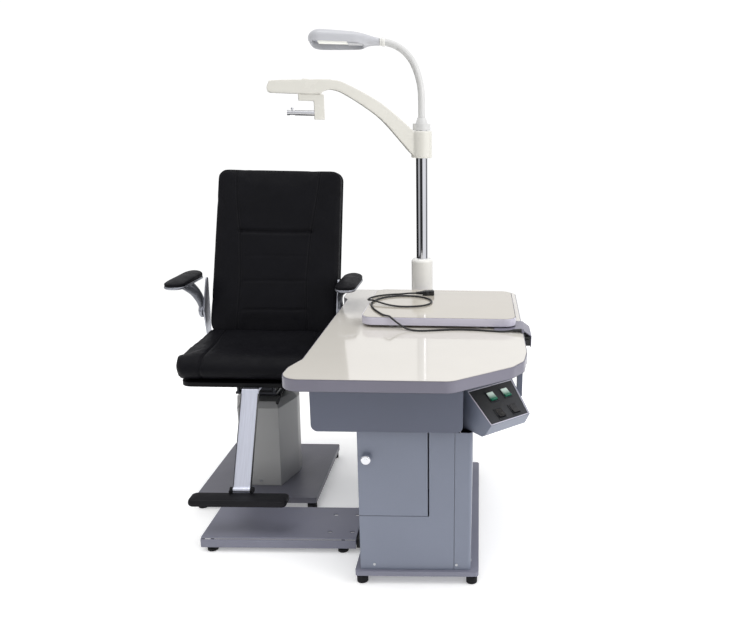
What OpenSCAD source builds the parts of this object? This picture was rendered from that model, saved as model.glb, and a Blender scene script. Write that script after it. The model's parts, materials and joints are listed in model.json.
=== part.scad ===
// Ophthalmic refraction unit: an instrument table with a lifting column, a phoropter arm and a
// reading lamp, joined by a low platform to a lifting examination chair.
// Millimetres, +Z up. The floor is z = 0, the operator stands at -Y and the chair is at -X.

/* [Table] */
// Height of the tabletop above the floor
table_h = 780; // [760:5:800]
// Thickness of the tabletop with its edge band
top_th = 38; // [30:1:42]
// Left edge of the tabletop where it is cut back beside the chair
top_left = -33; // [-36:1:-20]
// Right edge of the tabletop
top_right = 678; // [670:1:690]
// Front edge of the tabletop
top_front = -627; // [-640:1:-600]
// Back edge of the tabletop
top_back = 562; // [560:1:600]
// How far the two ears of the tabletop stand out past the cut-back edge
ear = 25; // [10:1:25]
// Thickness of the edge bands
band_th = 3; // [2:0.5:4]

/* [Cabinet] */
// Left side of the cabinet
cab_left = 134; // [120:1:150]
// Right side of the cabinet
cab_right = 504; // [495:1:520]
// Front face of the cabinet
cab_front = -472; // [-480:1:-460]
// Back face of the cabinet
cab_back = 330; // [250:1:360]
// Width of the cabinet door
door_w = 227; // [200:1:240]
// Height of the door's lower edge
door_z = 250; // [230:1:270]
// Sheet thickness of the cabinet and the covers
sheet = 2; // [1.5:0.5:3]

/* [Tray] */
// Width of the sliding instrument tray
tray_w = 568; // [540:1:580]
// Depth of the sliding instrument tray
tray_d = 466; // [430:1:470]
// Thickness of the tray
tray_th = 30; // [24:1:32]

/* [Column and arm] */
// Radius of the chromed column
col_r = 24; // [22:0.5:26]
// Height of the top of the white collar
collar_top = 941; // [900:1:960]
// Underside of the arm's hub
hub_z = 1363; // [1340:1:1380]
// Height of the arm's hub
hub_h = 109; // [100:1:115]
// Turn of the arm towards the operator
arm_turn = 15; // [10:1:20]
// Radius of the phoropter pin
pin_r = 10.5; // [8:0.5:12]

/* [Lamp] */
// Radius of the lamp's curved neck
neck_r = 14; // [10:1:16]
// Length of the lamp head
lamp_l = 286; // [260:1:300]
// Roll of the lamp head towards the operator
lamp_roll = 12; // [0:1:20]

/* [Chair] */
// Middle of the seat, from the origin
chair_x = -334; // [-345:1:-334]
// Middle of the chair's base plate, from the origin
base_x = -356; // [-365:1:-350]
// Width of the seat across its front
seat_w = 580; // [540:2:580]
// Underside of the seat at its lowest
seat_z = 523; // [515:1:535]
// Lean of the backrest
back_lean = 20.6; // [15:0.1:22]
// Length of the backrest along its slope
back_l = 675; // [640:1:680]
// Width of the backrest at its foot
back_w = 524; // [500:1:524]

/* [Hidden] */
$fn = 48;
e = 0.01;

// Colours
grey_blue = [0.50, 0.52, 0.57];
plate_grey = [0.42, 0.42, 0.46];
band_violet = [0.72, 0.70, 0.78];
top_cream = [0.84, 0.83, 0.80];
arm_cream = [0.90, 0.89, 0.86];
black = [0.08, 0.08, 0.09];
silver = [0.72, 0.74, 0.77];

// Floor and plates
plate_top = 50;
plate_bottom = 32;
chair_plate_top = 54;
chair_plate_bottom = 30;
chair_y0 = 0;
chair_y1 = 506;
chair_plate_w = 479;
foot_r = 19;
foot_inset = 22;

// Table
board_z = table_h - top_th;
apron_left = -4;
apron_right = 473;
apron_front = -502;
apron_back = 535;
apron_z = 562;
apron_r = 22;
col = [272, 480];
guide_r = 34;
guide_bore = 30;

// Cabinet: the side cover starts at the seam
seam = 448;
door_x1 = cab_left + door_w - 1;
door_th = 16;
door_top = apron_z - 4;
hinge = [door_x1 - 4, cab_front + 6];
knob = [164, 461];
cover_h = 500;

// Control box: its lip's left corner, its turn and the slope of its face
lip = [561.3, -537, 603];
box_turn = 40;
face_slope = 32.5;
rocker = [26, 32];
greens = [[72, 99], [132, 99]];
blacks = [[60, 32], [120, 32]];
rocker_rest = 6;
rocker_axis = 2;

// Tray
tray_x0 = 88;
tray_y0 = -64;
tray_z = table_h + 9.5;
rail_h = 6;

// Arm and lamp
neck_z = 1524;
neck_straight = 76;
neck_bend = [302, 24.4];
neck_hook = 150;
hook_start = col.x - neck_bend[0] * (1 - cos(neck_bend[1]));
head_x = hook_start - neck_hook * cos(neck_bend[1]);
head_z = neck_z + neck_straight + neck_bend[0] * sin(neck_bend[1])
       + neck_hook * (1 - sin(neck_bend[1]));
pin_z = 1532;

// Chair
lift_x = -350;
lift_y = 250;
tilt_pin = [90, 488];
lever_pin = [101, 496];
back_x = -328;
back_foot = [335, 750];
back_z0 = -94;
back_t = 85;
hub = [300, 742];
hub_in = 274.3;
hub_out = 292;
tread_pin = [-200, 194];
foot_x = -338;
pad_x = 330;
pad_size = [78, 255];

// The origin is under the middle of the whole unit
back_most = back_foot[0] + (back_t / 2 + 18) * cos(back_lean) + (back_z0 + back_l - 12) * sin(back_lean);
right_most = 711;
shift = [-(chair_x - pad_x - pad_size.x / 2 + right_most) / 2, -(top_front - band_th + back_most) / 2, 0];

// ---- Shared shapes ----

module at_origin() { translate(shift) children(); }

// Rectangle with round corners, about its middle
module rrect(w, d, r) {
  square([w - 2 * r, d], center = true);
  square([w, d - 2 * r], center = true);
  for (sx = [-1, 1], sy = [-1, 1])
    translate([sx * (w / 2 - r), sy * (d / 2 - r)]) circle(r);
}

// Upright block from corner a to corner b
module block(a, b) { translate(a) cube(b - a); }

module ring(r_out, r_in, h) {
  difference() {
    cylinder(r = r_out, h = h);
    translate([0, 0, -1]) cylinder(r = r_in, h = h + 2);
  }
}

// Folded sheet pan, open below
module pan(w, d, h, r, wall) {
  difference() {
    linear_extrude(h) rrect(w, d, r);
    translate([0, 0, -1]) linear_extrude(h - wall + 1) rrect(w - 2 * wall, d - 2 * wall, r - wall);
  }
}

// A profile drawn in Y and Z, pulled along X from x0 to x1
module pull_x(x0, x1) {
  translate([x0, 0, 0]) rotate([90, 0, 90]) linear_extrude(x1 - x0) children();
}

// A profile drawn in X and Z, pulled along Y from y0 to y1
module pull_y(y0, y1) {
  translate([0, y1, 0]) rotate([90, 0, 0]) linear_extrude(y1 - y0) children();
}

// ---- Platform and bars ----

platform = [[-466, -299], [89, -73]];
slots_mid = [28, -187];
slots_pitch = [82, 120];
slot = [17, 10];

module link_platform() {
  size = platform[1] - platform[0];
  mid = (platform[0] + platform[1]) / 2;
  lip_z = 17;
  lip_r = 14;
  color(plate_grey) at_origin() difference() {
    union() {
      translate([mid.x, mid.y + lip_r / 2, chair_plate_bottom])
        linear_extrude(chair_plate_top - chair_plate_bottom)
          square([size.x, size.y - lip_r], center = true);
      pull_x(platform[0].x, platform[1].x) union() {
        translate([platform[0].y + lip_r, chair_plate_top - lip_r]) circle(lip_r);
        translate([platform[0].y, lip_z]) square([4, chair_plate_top - lip_r - lip_z]);
      }
    }
    block([platform[0].x + 3, platform[0].y + 3, lip_z - 1],
          [platform[1].x - 3, platform[1].y - 3, chair_plate_top - 4]);
    for (sx = [-1, 1], sy = [-1, 1])
      translate([slots_mid.x + sx * slots_pitch.x / 2, slots_mid.y + sy * slots_pitch.y / 2, 0])
        for (dx = [-1, 1]) translate([dx * (slot.x - slot.y) / 2, 0, 40]) cylinder(d = slot.y, h = 20);
    for (sx = [-1, 1], sy = [-1, 1])
      translate([slots_mid.x + sx * slots_pitch.x / 2, slots_mid.y + sy * slots_pitch.y / 2, 50])
        cube([slot.x - slot.y, slot.y, 20], center = true);
  }
}

module link_bars() {
  color(black) at_origin() {
    block([platform[1].x + 0.2, -285, 12], [115.5, -95, 47]);
    block([115.5, -285, 12], [150, -95, plate_bottom]);
    block([-400, -90, 8], [-300, 30, chair_plate_bottom]);
  }
}

// ---- Table ----

module base_plate() {
  w = 415;
  color(plate_grey) at_origin()
    translate([116 + w / 2, (cab_front - 12 + cab_back + 15) / 2, plate_bottom])
      pan(w, cab_back - cab_front + 27, plate_top - plate_bottom, 12, 3);
}

table_feet = [[138, -460], [508, -460], [138, 320], [508, 320]];
chair_feet = [for (sx = [-1, 1], y = [chair_y0 + foot_inset, chair_y1 - foot_inset])
  [base_x + sx * (chair_plate_w / 2 - foot_inset), y]];

module foot(pad_h, stem_top) {
  cylinder(r = foot_r, h = pad_h - 4);
  translate([0, 0, pad_h - 4]) cylinder(r = foot_r - 3, h = 4);
  translate([0, 0, pad_h]) cylinder(r = 6, h = stem_top - pad_h);
}

module feet() {
  color(black) at_origin() {
    for (p = table_feet) translate([p.x, p.y, 0]) foot(28, plate_top - 3);
    for (p = chair_feet) translate([p.x, p.y, 0]) foot(26, chair_plate_top - 3);
    for (p = [[-430, -280], [-430, -95], [40, -280], [40, -95]])
      translate([p.x, p.y, 0]) foot(14, chair_plate_top - 4);
  }
}

module cabinet_body() {
  color(grey_blue) at_origin() difference() {
    block([cab_left, cab_front, plate_top], [seam - 1, cab_back, apron_z]);
    block([cab_left + sheet, cab_front + sheet, plate_top - 1],
          [seam - 1 - sheet, cab_back - sheet, apron_z - sheet]);
    block([cab_left - 1, cab_front - 1, door_z],
          [door_x1 + 4.5, cab_front + door_th + 1, apron_z - sheet]);
    block([cab_left + 60, -150, apron_z - sheet - 1], [seam - 60, 150, apron_z + 1]);
    for (x = [181]) translate([x, cab_front - 1, 70]) rotate([-90, 0, 0]) cylinder(r = 2.1, h = 5);
  }
}

module cabinet_side_cover() {
  w = 100;
  d = cab_back - cab_front;
  color(grey_blue) at_origin() difference() {
    translate([cab_right - w / 2, (cab_back + cab_front) / 2, plate_top]) linear_extrude(cover_h)
      intersection() {
        difference() {
          rrect(w, d, 10);
          rrect(w - 2 * sheet, d - 2 * sheet, 10 - sheet);
        }
        translate([seam - cab_right + w / 2, -d]) square([w, 2 * d]);
      }
    translate([456, cab_front - 1, 70]) rotate([-90, 0, 0]) cylinder(r = 2.1, h = 5);
    translate([cab_right + 1, cab_front + 34, 66]) rotate([0, -90, 0]) cylinder(r = 2.1, h = 5);
  }
}

module power_supply() {
  color("silver") at_origin() {
    block([180, 90, plate_top], [340, 260, 150]);
    block([200, 110, 150], [320, 240, 158]);
  }
}

module cabinet_door() {
  z0 = door_z + 1.5;
  y1 = cab_front + door_th;
  color(grey_blue) at_origin() difference() {
    block([cab_left, cab_front, z0], [door_x1, y1, door_top]);
    block([cab_left + sheet, cab_front + sheet, z0 + sheet], [door_x1 - 12, y1 + 1, door_top - sheet]);
    for (z = [z0 - 1, door_top - 19]) translate([hinge.x, hinge.y, z]) cylinder(r = 2.55, h = 20);
    translate([knob.x, cab_front - 1, knob.y]) rotate([-90, 0, 0]) cylinder(r = 6.05, h = 5);
  }
}

module door_hinge_pins() {
  color(silver) at_origin() {
    block([hinge.x - 6, cab_front + sheet, door_z - 14], [hinge.x + 6, hinge.y + 8, door_z]);
    translate([hinge.x, hinge.y, door_z]) cylinder(r = 2.5, h = 18);
    translate([hinge.x, hinge.y, door_top - 16]) cylinder(r = 2.5, h = 16 + apron_z - sheet - door_top);
  }
}

module door_knob() {
  color("silver") at_origin() translate([knob.x, cab_front, knob.y]) {
    rotate([90, 0, 0]) rotate_extrude() {
      square([6, 26]);
      translate([0, 0.3]) square([9, 8]);
      translate([0, 8.3]) square([16, 13]);
      translate([0, 21.3]) square([12, 4]);
      intersection() {
        translate([12, 21.3]) circle(4);
        translate([12, 21.3]) square(4);
      }
    }
    rotate([-90, 0, 0]) cylinder(r = 6, h = 24);
    translate([-7, 20, -26]) cube([14, 3, 34]);
  }
}

module screw(len) {
  translate([0, 0, 0.05]) cylinder(r = 4.5, h = 2.2);
  translate([0, 0, -len]) cylinder(r = 2, h = len + 1);
}

module screws() {
  color("silver") at_origin() {
    for (x = [181, 456]) translate([x, cab_front, 70]) rotate([90, 0, 0]) screw(7);
    translate([cab_right, cab_front + 34, 66]) rotate([0, 90, 0]) screw(7);
    translate([base_x - 5, lift_y - 150 - 0.05, 75]) rotate([90, 0, 0]) screw(7);
  }
}

module apron_profile(inset) {
  w = apron_right - apron_left - 2 * inset;
  h = board_z - apron_z;
  translate([(apron_left + apron_right) / 2, apron_z + inset + h / 2]) {
    rrect(w, h, apron_r - inset);
    translate([-w / 2, 0]) square([w, h / 2]);
  }
}

module apron_box() {
  color(grey_blue) at_origin() difference() {
    pull_y(apron_front, apron_back) apron_profile(0);
    pull_y(apron_front + sheet, apron_back - sheet) apron_profile(sheet);
    translate([col.x, col.y, apron_z - 1]) cylinder(r = guide_r + 0.3, h = 4);
    block([cab_left + 60, -150, apron_z - 1], [seam - 60, 150, apron_z + sheet + 1]);
  }
}

// The tabletop's outline, grown by g: its left side is cut back beside the chair
module top_outline(g) {
  offset(r = 55 + g) offset(delta = -55) offset(r = -50) offset(delta = 50)
    polygon([[top_left - ear - 4, top_front], [440, top_front], [625, -486], [664, -425],
             [top_right, -330], [top_right, top_back], [top_left - 22, top_back],
             [top_left - 22, 400], [top_left, 376], [top_left, -440], [top_left - ear, -520]]);
}

module table_top() {
  color(top_cream) at_origin() difference() {
    translate([0, 0, board_z]) linear_extrude(top_th) top_outline(0);
    translate([col.x, col.y, board_z - 1]) cylinder(r = guide_bore, h = top_th + 2);
  }
}

module table_edge_band() {
  color(band_violet) at_origin() translate([0, 0, board_z]) linear_extrude(top_th - 1) difference() {
    top_outline(band_th);
    top_outline(0.05);
  }
}

// ---- Control box ----

module at_lip() { translate(lip) rotate([0, 0, box_turn]) children(); }
module on_face() { at_lip() rotate([face_slope, 0, 0]) children(); }

box_profile = [[0, 0], [29, -43], [43, -51], [210, -51], [210, board_z - lip.z],
               [135, board_z - lip.z], [126.5, 80.6]];
box_plan = [[apron_right + 0.2, -640], [773, -609], [601, -250], [apron_right + 0.2, -250]];

module box_shape(inset) {
  intersection() {
    at_lip() pull_x(inset, 220) offset(delta = -inset) polygon(box_profile);
    translate([0, 0, 500]) linear_extrude(300) offset(delta = -inset) polygon(box_plan);
  }
}

module rocker_holes(clear) {
  for (p = concat(greens, blacks))
    on_face() translate([p.x, p.y, 0])
      cube([rocker.x + 2 * clear, rocker.y + 4, 30], center = true);
}

module control_box() {
  color(grey_blue) at_origin() difference() {
    box_shape(0);
    box_shape(sheet);
    rocker_holes(0.4);
  }
}

module control_panel() {
  th = 2;
  color(black) at_origin() difference() {
    union() {
      on_face() translate([0, 0, 0.05]) linear_extrude(th)
        polygon([[5, 5], [157, 5], [184, 138], [5, 138]]);
      for (p = concat(greens, blacks)) on_face() translate([p.x, p.y, 0.05])
        linear_extrude(th + 2) square([rocker.x + 7, rocker.y + 10], center = true);
    }
    rocker_holes(0.4);
  }
  color(black) at_origin() for (p = concat(greens, blacks))
    on_face() translate([p.x, p.y, rocker_axis]) rotate([0, 90, 0])
      cylinder(r = 1.5, h = rocker.x + 1.2, center = true);
}

module rocker_at(p) {
  color(p.y > 60 ? [0.25, 0.75, 0.55] : black) at_origin() on_face()
    translate([p.x, p.y, rocker_axis]) rotate([-rocker_rest, 0, 0])
      pull_x(-rocker.x / 2, rocker.x / 2) difference() {
        polygon([[-16, 5], [0, 3.8], [16, 5], [16, -1], [8, -11], [-8, -11], [-16, -1]]);
        circle(1.56);
      }
}
module rocker_green_left() { rocker_at(greens[0]); }
module rocker_green_right() { rocker_at(greens[1]); }
module rocker_black_left() { rocker_at(blacks[0]); }
module rocker_black_right() { rocker_at(blacks[1]); }

// ---- Tray ----

tray_mid = [tray_x0 + tray_w / 2, tray_y0 + tray_d / 2];
rails_x = [190, 510];

module tray_rails() {
  color("silver") at_origin() for (x = rails_x)
    difference() {
      block([x, tray_y0 + 30, table_h], [x + 40, tray_y0 + tray_d - 20, table_h + rail_h]);
      block([x + 12, tray_y0 + 29, table_h + 2], [x + 28, tray_y0 + tray_d, table_h + rail_h + 1]);
    }
}

module tray_carriage() {
  plate_z = table_h + 2.5;
  color(band_violet) at_origin() {
    for (x = rails_x) {
      block([x + 3, tray_y0 + 20, table_h + rail_h + 0.3], [x + 37, tray_y0 + tray_d - 16, tray_z]);
      block([x + 12.5, tray_y0 + 20, table_h + 2.4], [x + 27.5, tray_y0 + tray_d - 16, table_h + rail_h + 0.4]);
    }
    pull_y(-95, 42) polygon([[575, plate_z], [682, plate_z], [708, plate_z - 18], [708, 724],
                             [right_most, 724], [right_most, plate_z - 16], [684, plate_z + 3],
                             [575, plate_z + 3]]);
    block([575, -45, plate_z + 3], [640, 42, tray_z]);
    block([673, -114, plate_z], [682, -95, plate_z + 14]);
  }
}

module tray_shape(g) {
  translate(tray_mid) rrect(tray_w - 2 * band_th + 2 * g, tray_d - 2 * band_th + 2 * g, 42 + g);
}

module tray_board() {
  color(top_cream) at_origin() translate([0, 0, tray_z]) linear_extrude(tray_th) tray_shape(0);
}

module tray_edge_band() {
  color(band_violet) at_origin() translate([0, 0, tray_z]) linear_extrude(tray_th - 1) difference() {
    tray_shape(band_th);
    tray_shape(0.05);
  }
}

module outlet_block() {
  color(black) at_origin() {
    block([686, -92, 728], [707.9, 20, 762]);
    translate([696, -97, 745]) rotate([-90, 0, 0]) cylinder(r = 8, h = 5);
  }
}

// ---- Cord: straight out of its gland, along the tabletop, up onto the tray and round one loop ----

cord_r = 3.5;
cord_z = table_h + cord_r + 0.4;
lay_z = tray_z + tray_th + cord_r + 0.3;
gland_exit = [640, -104, 789];
plug_at = [262, 290];
route = [gland_exit, [622, -104, 786], [600, -102, cord_z], [560, -96, cord_z], [515, -88, cord_z],
  [470, -84, cord_z], [425, -86, cord_z], [380, -95, cord_z], [340, -104, cord_z],
  [300, -108, cord_z], [266, -100, 786], [242, -88, 794], [222, -80, 806], [206, -74, 817],
  [194, -68, lay_z + 1.6], [180, -56, lay_z + 1.2], [166, -38, lay_z], [151, -12, lay_z],
  [134, 20, lay_z], [118, 58, lay_z],
  [106, 98, lay_z], [102, 136, lay_z], [108, 176, lay_z], [126, 216, lay_z], [156, 248, lay_z],
  [196, 266, lay_z], [240, 268, lay_z], [282, 254, lay_z], [316, 222, lay_z], [332, 180, lay_z],
  [326, 138, lay_z], [300, 106, lay_z], [258, 90, lay_z], [212, 90, lay_z],
  [170, 104, lay_z + 2], [134, 126, lay_z + 5.5], [106, 148, lay_z + 8], [84, 174, lay_z + 3],
  [80, 206, lay_z], [94, 240, lay_z], [122, 268, lay_z], [158, 288, lay_z], [196, 298, lay_z],
  [230, 296, lay_z + 4], [plug_at.x, plug_at.y, lay_z + 7]];

function unit(v) = v / norm(v);
// A point on the smooth curve through the route, t counted in route points
function spline(p, t) =
  let (n = len(p) - 1, i = min(floor(t), n - 1), f = t - i,
       a = p[max(i - 1, 0)], b = p[i], c = p[i + 1], d = p[min(i + 2, n)])
  0.5 * (2 * b + (c - a) * f + (2 * a - 5 * b + 4 * c - d) * f * f
         + (3 * b - a - 3 * c + d) * f * f * f);
function tangent(pts, i) = unit(pts[min(i + 1, len(pts) - 1)] - pts[max(i - 1, 0)]);
function tube_ring(pts, i, r, sides) =
  let (t = tangent(pts, i), s = unit(cross(t, [0, 0, 1])), u = cross(s, t))
  [for (k = [0:sides - 1]) pts[i] + r * (cos(k * 360 / sides) * s + sin(k * 360 / sides) * u)];

module sweep_tube(pts, r, sides) {
  n = len(pts);
  polyhedron(
    points = [for (i = [0:n - 1]) each tube_ring(pts, i, r, sides)],
    faces = concat(
      [[for (k = [0:sides - 1]) k]],
      [for (i = [0:n - 2], k = [0:sides - 1])
        [i * sides + k, (i + 1) * sides + k, (i + 1) * sides + (k + 1) % sides, i * sides + (k + 1) % sides]],
      [[for (k = [sides - 1:-1:0]) (n - 1) * sides + k]]));
}

module cord() {
  steps = 78;
  pts = [for (i = [0:steps]) spline(route, i * (len(route) - 1) / steps)];
  color(black) at_origin() sweep_tube(pts, cord_r, 8);
}

module cord_gland() {
  len = 32.8;
  color(black) at_origin() translate([gland_exit.x + 0.1, gland_exit.y, gland_exit.z])
    rotate([0, 90, 0]) cylinder(r1 = 4.6, r2 = 6.8, h = len);
}

// Connector on the cord's free end: a tapered neck and a moulded body
module cord_plug() {
  color(black) at_origin() translate([plug_at.x, plug_at.y, lay_z + 7]) rotate([0, 0, 14]) {
    translate([0.2, 0, 0]) rotate([0, 90, 0]) cylinder(r1 = 4.6, r2 = 8, h = 26);
    translate([26.2, -10, -10.5]) cube([10, 20, 19]);
    translate([36.2, -13.5, -10.5]) cube([36, 27, 20]);
  }
}

// ---- Column and arm ----

module column_collar() {
  r = 45.5;
  round_r = 14;
  h = collar_top - table_h;
  color("white") at_origin() translate([col.x, col.y, table_h + 0.05]) difference() {
    rotate_extrude() {
      square([r, h - round_r]);
      square([r - round_r, h]);
      translate([r - round_r, h - round_r]) circle(round_r);
    }
    translate([0, 0, -1]) cylinder(r = col_r + 0.05, h = h + 2);
  }
}

module column_guide() {
  color(grey_blue) at_origin() translate([col.x, col.y, 0]) difference() {
    union() {
      translate([0, 0, 180]) cylinder(r = guide_r, h = board_z - 180 - 0.05);
      translate([0, 0, apron_z - 6]) cylinder(r = 58, h = 5.9);
    }
    translate([0, 0, 184]) cylinder(r = guide_bore, h = board_z);
  }
}

module column_tube() {
  z0 = 440;
  color("silver") at_origin() translate([col.x, col.y, 0]) difference() {
    union() {
      translate([0, 0, z0]) cylinder(r = col_r, h = 1484 - z0);
      translate([0, 0, z0]) cylinder(r = guide_bore - 0.06, h = 25);
      translate([0, 0, hub_z + 39]) cylinder(r = col_r + 3.5, h = hub_h - 78.3);
    }
    translate([0, 0, z0 - 1]) cylinder(r = col_r - 3.5, h = 1490 - z0);
  }
}

// Local frame of the arm: X runs out along the arm
module at_arm() { translate([col.x, col.y, 0]) rotate([0, 0, 180 + arm_turn]) children(); }

arm_w = 48;
pivot_r = 457;
arm_outline = [[31, 1466], [85, 1513], [163, 1574], [240, 1617], [317, 1652], [355, 1659],
  [394, 1660], [575, 1651], [597, 1640], [603, 1625], [602, 1606], [596, 1604], [415, 1604],
  [400, 1609], [384, 1618], [368, 1622], [350, 1621], [318, 1611], [241, 1567], [164, 1511],
  [86, 1426], [60, 1396], [44, 1380], [31, 1372]];

module arm_casting() {
  color(arm_cream) at_origin() at_arm() difference() {
    union() {
      translate([0, 0, hub_z]) cylinder(r = 43, h = hub_h);
      pull_y(-arm_w / 2, arm_w / 2) polygon(arm_outline);
    }
    translate([0, 0, hub_z - 1]) cylinder(r = 28, h = hub_h + 2);
    translate([pivot_r, 0, 1600]) cylinder(r = 6.05, h = 45);
  }
}

module arm_bushes() {
  color(black) at_origin() translate([col.x, col.y, 0])
    for (z = [hub_z + 2, hub_z + hub_h - 39])
      translate([0, 0, z]) ring(27.95, col_r + 0.06, 34);
}

module phoropter_bracket() {
  color(arm_cream) at_origin() at_arm() difference() {
    union() {
      block([389, -17, 1578], [487, 17, 1603.6]);
      block([389, -17, 1508], [428, 17, 1600]);
      translate([pivot_r, 0, 1600]) cylinder(r = 6, h = 44);
    }
    translate([400, 0, pin_z]) rotate([0, 90, 0]) cylinder(r = pin_r - 1.45, h = 40);
  }
}

module phoropter_pin() {
  color("silver") at_origin() at_arm() difference() {
    union() {
      translate([400, 0, pin_z]) rotate([0, 90, 0]) cylinder(r = pin_r - 1.5, h = 30);
      translate([428.1, 0, pin_z]) rotate([0, 90, 0]) cylinder(r = pin_r, h = 73.9);
      translate([502, 0, pin_z]) rotate([0, 90, 0]) cylinder(r = pin_r - 2, h = 20);
      translate([522, 0, pin_z]) rotate([0, 90, 0]) cylinder(r = pin_r, h = 10);
    }
    translate([512, 0, pin_z]) cylinder(r = 2.05, h = 20);
  }
}

module pin_screw() {
  color("silver") at_origin() at_arm() translate([512, 0, pin_z]) {
    translate([0, 0, 1]) cylinder(r = 2, h = 12);
    translate([0, 0, 12]) cylinder(r = 5, h = 7);
  }
}

// ---- Lamp ----

module lamp_ring() {
  color("white") at_origin() translate([col.x, col.y, 0]) difference() {
    union() {
      translate([0, 0, 1474]) cylinder(r = 36, h = 26);
      translate([0, 0, 1500]) cylinder(r1 = 25, r2 = 17, h = neck_z - 1500);
    }
    translate([0, 0, 1473]) cylinder(r = col_r + 0.06, h = 11.3);
  }
}

module neck_arc(mid, radius, from, to) {
  translate(mid) rotate([90, 0, 0]) rotate([0, 0, from])
    rotate_extrude(angle = to - from) translate([radius, 0]) circle(neck_r);
}

// Thin sleeve over a joint of the neck, tilted to its run
module neck_sleeve(at, tilt) {
  translate(at) rotate([0, -tilt, 0]) cylinder(r = neck_r + 0.3, h = 12, center = true);
}

module lamp_neck() {
  low = [col.x, col.y, neck_z];
  bend_low = low + [0, 0, neck_straight];
  bend_mid = bend_low - [neck_bend[0], 0, 0];
  hook_mid = [head_x, col.y, head_z - neck_hook];
  hook_low = hook_mid + neck_hook * [cos(neck_bend[1]), 0, sin(neck_bend[1])];
  color("white") at_origin() {
    translate(low) cylinder(r = neck_r, h = neck_straight - 1);
    neck_sleeve(bend_low, 0);
    neck_arc(bend_mid, neck_bend[0], 0.2, neck_bend[1] - 0.2);
    neck_sleeve(hook_low, neck_bend[1]);
    neck_arc(hook_mid, neck_hook, neck_bend[1] + 0.4, 90);
    translate([head_x + 2, col.y, head_z]) rotate([0, -90, 0]) cylinder(r = 6, h = 16);
  }
}

// Local frame of the lamp head: it runs along -X from the neck's end
module at_head() { translate([head_x - 0.3, col.y, head_z]) rotate([-lamp_roll, 0, 0]) children(); }

module lamp_hull(inset) {
  hull() {
    rotate([0, -90, 0]) cylinder(r = 15 - inset, h = 12, $fn = 32);
    translate([-95, 0, 6]) scale([60 - inset, 43 - inset, 28 - inset]) sphere(1, $fn = 32);
    translate([52 - lamp_l, 0, 6]) scale([52 - inset, 52 - inset, 36 - inset]) sphere(1, $fn = 32);
  }
}

module lamp_shell() {
  color("white") at_origin() at_head() difference() {
    lamp_hull(0);
    rotate([0, -90, 0]) cylinder(r = 6.06, h = 15);
    translate([-lamp_l - 10, -80, -60]) cube([lamp_l + 20 - 45, 160, 40]);
    intersection() {
      lamp_hull(4);
      translate([-lamp_l, -80, -40]) cube([lamp_l - 70, 160, 60]);
    }
  }
}

module lamp_socket() {
  color("white") at_origin() at_head() block([-128, -16, -12], [-70.05, 16, 8]);
}

module lamp_tube() {
  color("white") at_origin() at_head() {
    for (y = [-9, 9]) translate([-128.1, y, -4]) rotate([0, -90, 0]) cylinder(r = 6.5, h = 118);
    translate([-236, -9, -7]) cube([6, 18, 6]);
  }
}

// ---- Chair ----

module chair_base_plate() {
  color(plate_grey) at_origin()
    translate([base_x, (chair_y0 + chair_y1) / 2, chair_plate_bottom])
      pan(chair_plate_w, chair_y1 - chair_y0, chair_plate_top - chair_plate_bottom, 8, 3);
}

// Half-widths of the pedestal cover's plan from front to back
module cover_slice(z, grow, inset) {
  translate([base_x, lift_y, z]) linear_extrude(0.5) offset(delta = -inset)
    polygon([[-76 - grow, -150], [76 + grow, -150], [118 + grow, -15], [118 + grow, 25],
             [76 + grow, 150], [-76 - grow, 150], [-118 - grow, 25], [-118 - grow, -15]]);
}

module pedestal_cover() {
  top = 416;
  color(arm_cream) at_origin() difference() {
    hull() {
      cover_slice(chair_plate_top, 0, 0);
      cover_slice(top - 24, 6, 0);
      cover_slice(top - 0.5, 6, 18);
    }
    hull() {
      cover_slice(chair_plate_top - 1, 0, 2.5);
      cover_slice(top - 24, 6, 2.5);
      cover_slice(top - 3.5, 6, 20);
    }
    translate([lift_x, lift_y, top - 10]) cube([134, 134, 60], center = true);
    translate([base_x - 5, lift_y - 151, 75]) rotate([-90, 0, 0]) cylinder(r = 2.1, h = 5);
  }
}

module square_tube(w, wall, z0, z1) {
  translate([lift_x, lift_y, z0]) linear_extrude(z1 - z0) difference() {
    rrect(w, w, 8);
    rrect(w - 2 * wall, w - 2 * wall, 8 - wall);
  }
}

module lift_outer() { color("silver") at_origin() square_tube(124, 4, chair_plate_top, 400); }

module lift_inner() {
  head = [66, 74];
  color("dimgray") at_origin() {
    square_tube(112, 4, 80, 462);
    translate([lift_x - 80, 75, 462]) cube([160, 290, 8]);
    for (sx = [-1, 1]) difference() {
      translate([lift_x + sx * 70 - 4, 75, 470]) cube([8, 30, 30]);
      translate([lift_x, tilt_pin[0], tilt_pin[1]]) rotate([0, 90, 0]) cylinder(r = 6.05, h = 200, center = true);
    }
  }
}

module lift_actuator() {
  color(black) at_origin() translate([lift_x, lift_y, chair_plate_top]) difference() {
    cylinder(r = 28, h = 276);
    translate([0, 0, 36]) cylinder(r = 12.4, h = 300);
  }
}

module actuator_rod() {
  color("silver") at_origin() translate([lift_x, lift_y, 100]) cylinder(r = 12, h = 361.95);
}

module seat_mechanism() {
  color("dimgray") at_origin() {
    translate([lift_x - 94, 60, 506]) cube([208, 260, 16.9]);
    translate([lift_x - 62, 75, 479]) cube([124, 42, 27]);
    translate([lift_x, tilt_pin[0], tilt_pin[1]]) rotate([0, 90, 0]) cylinder(r = 6, h = 156, center = true);
    difference() {
      translate([lift_x + 98, lever_pin[0] - 7, lever_pin[1] - 6]) cube([5, 14, 16.5]);
      translate([lift_x, lever_pin[0], lever_pin[1]]) rotate([0, 90, 0]) cylinder(r = 3.06, h = 120);
    }
  }
}

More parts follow.
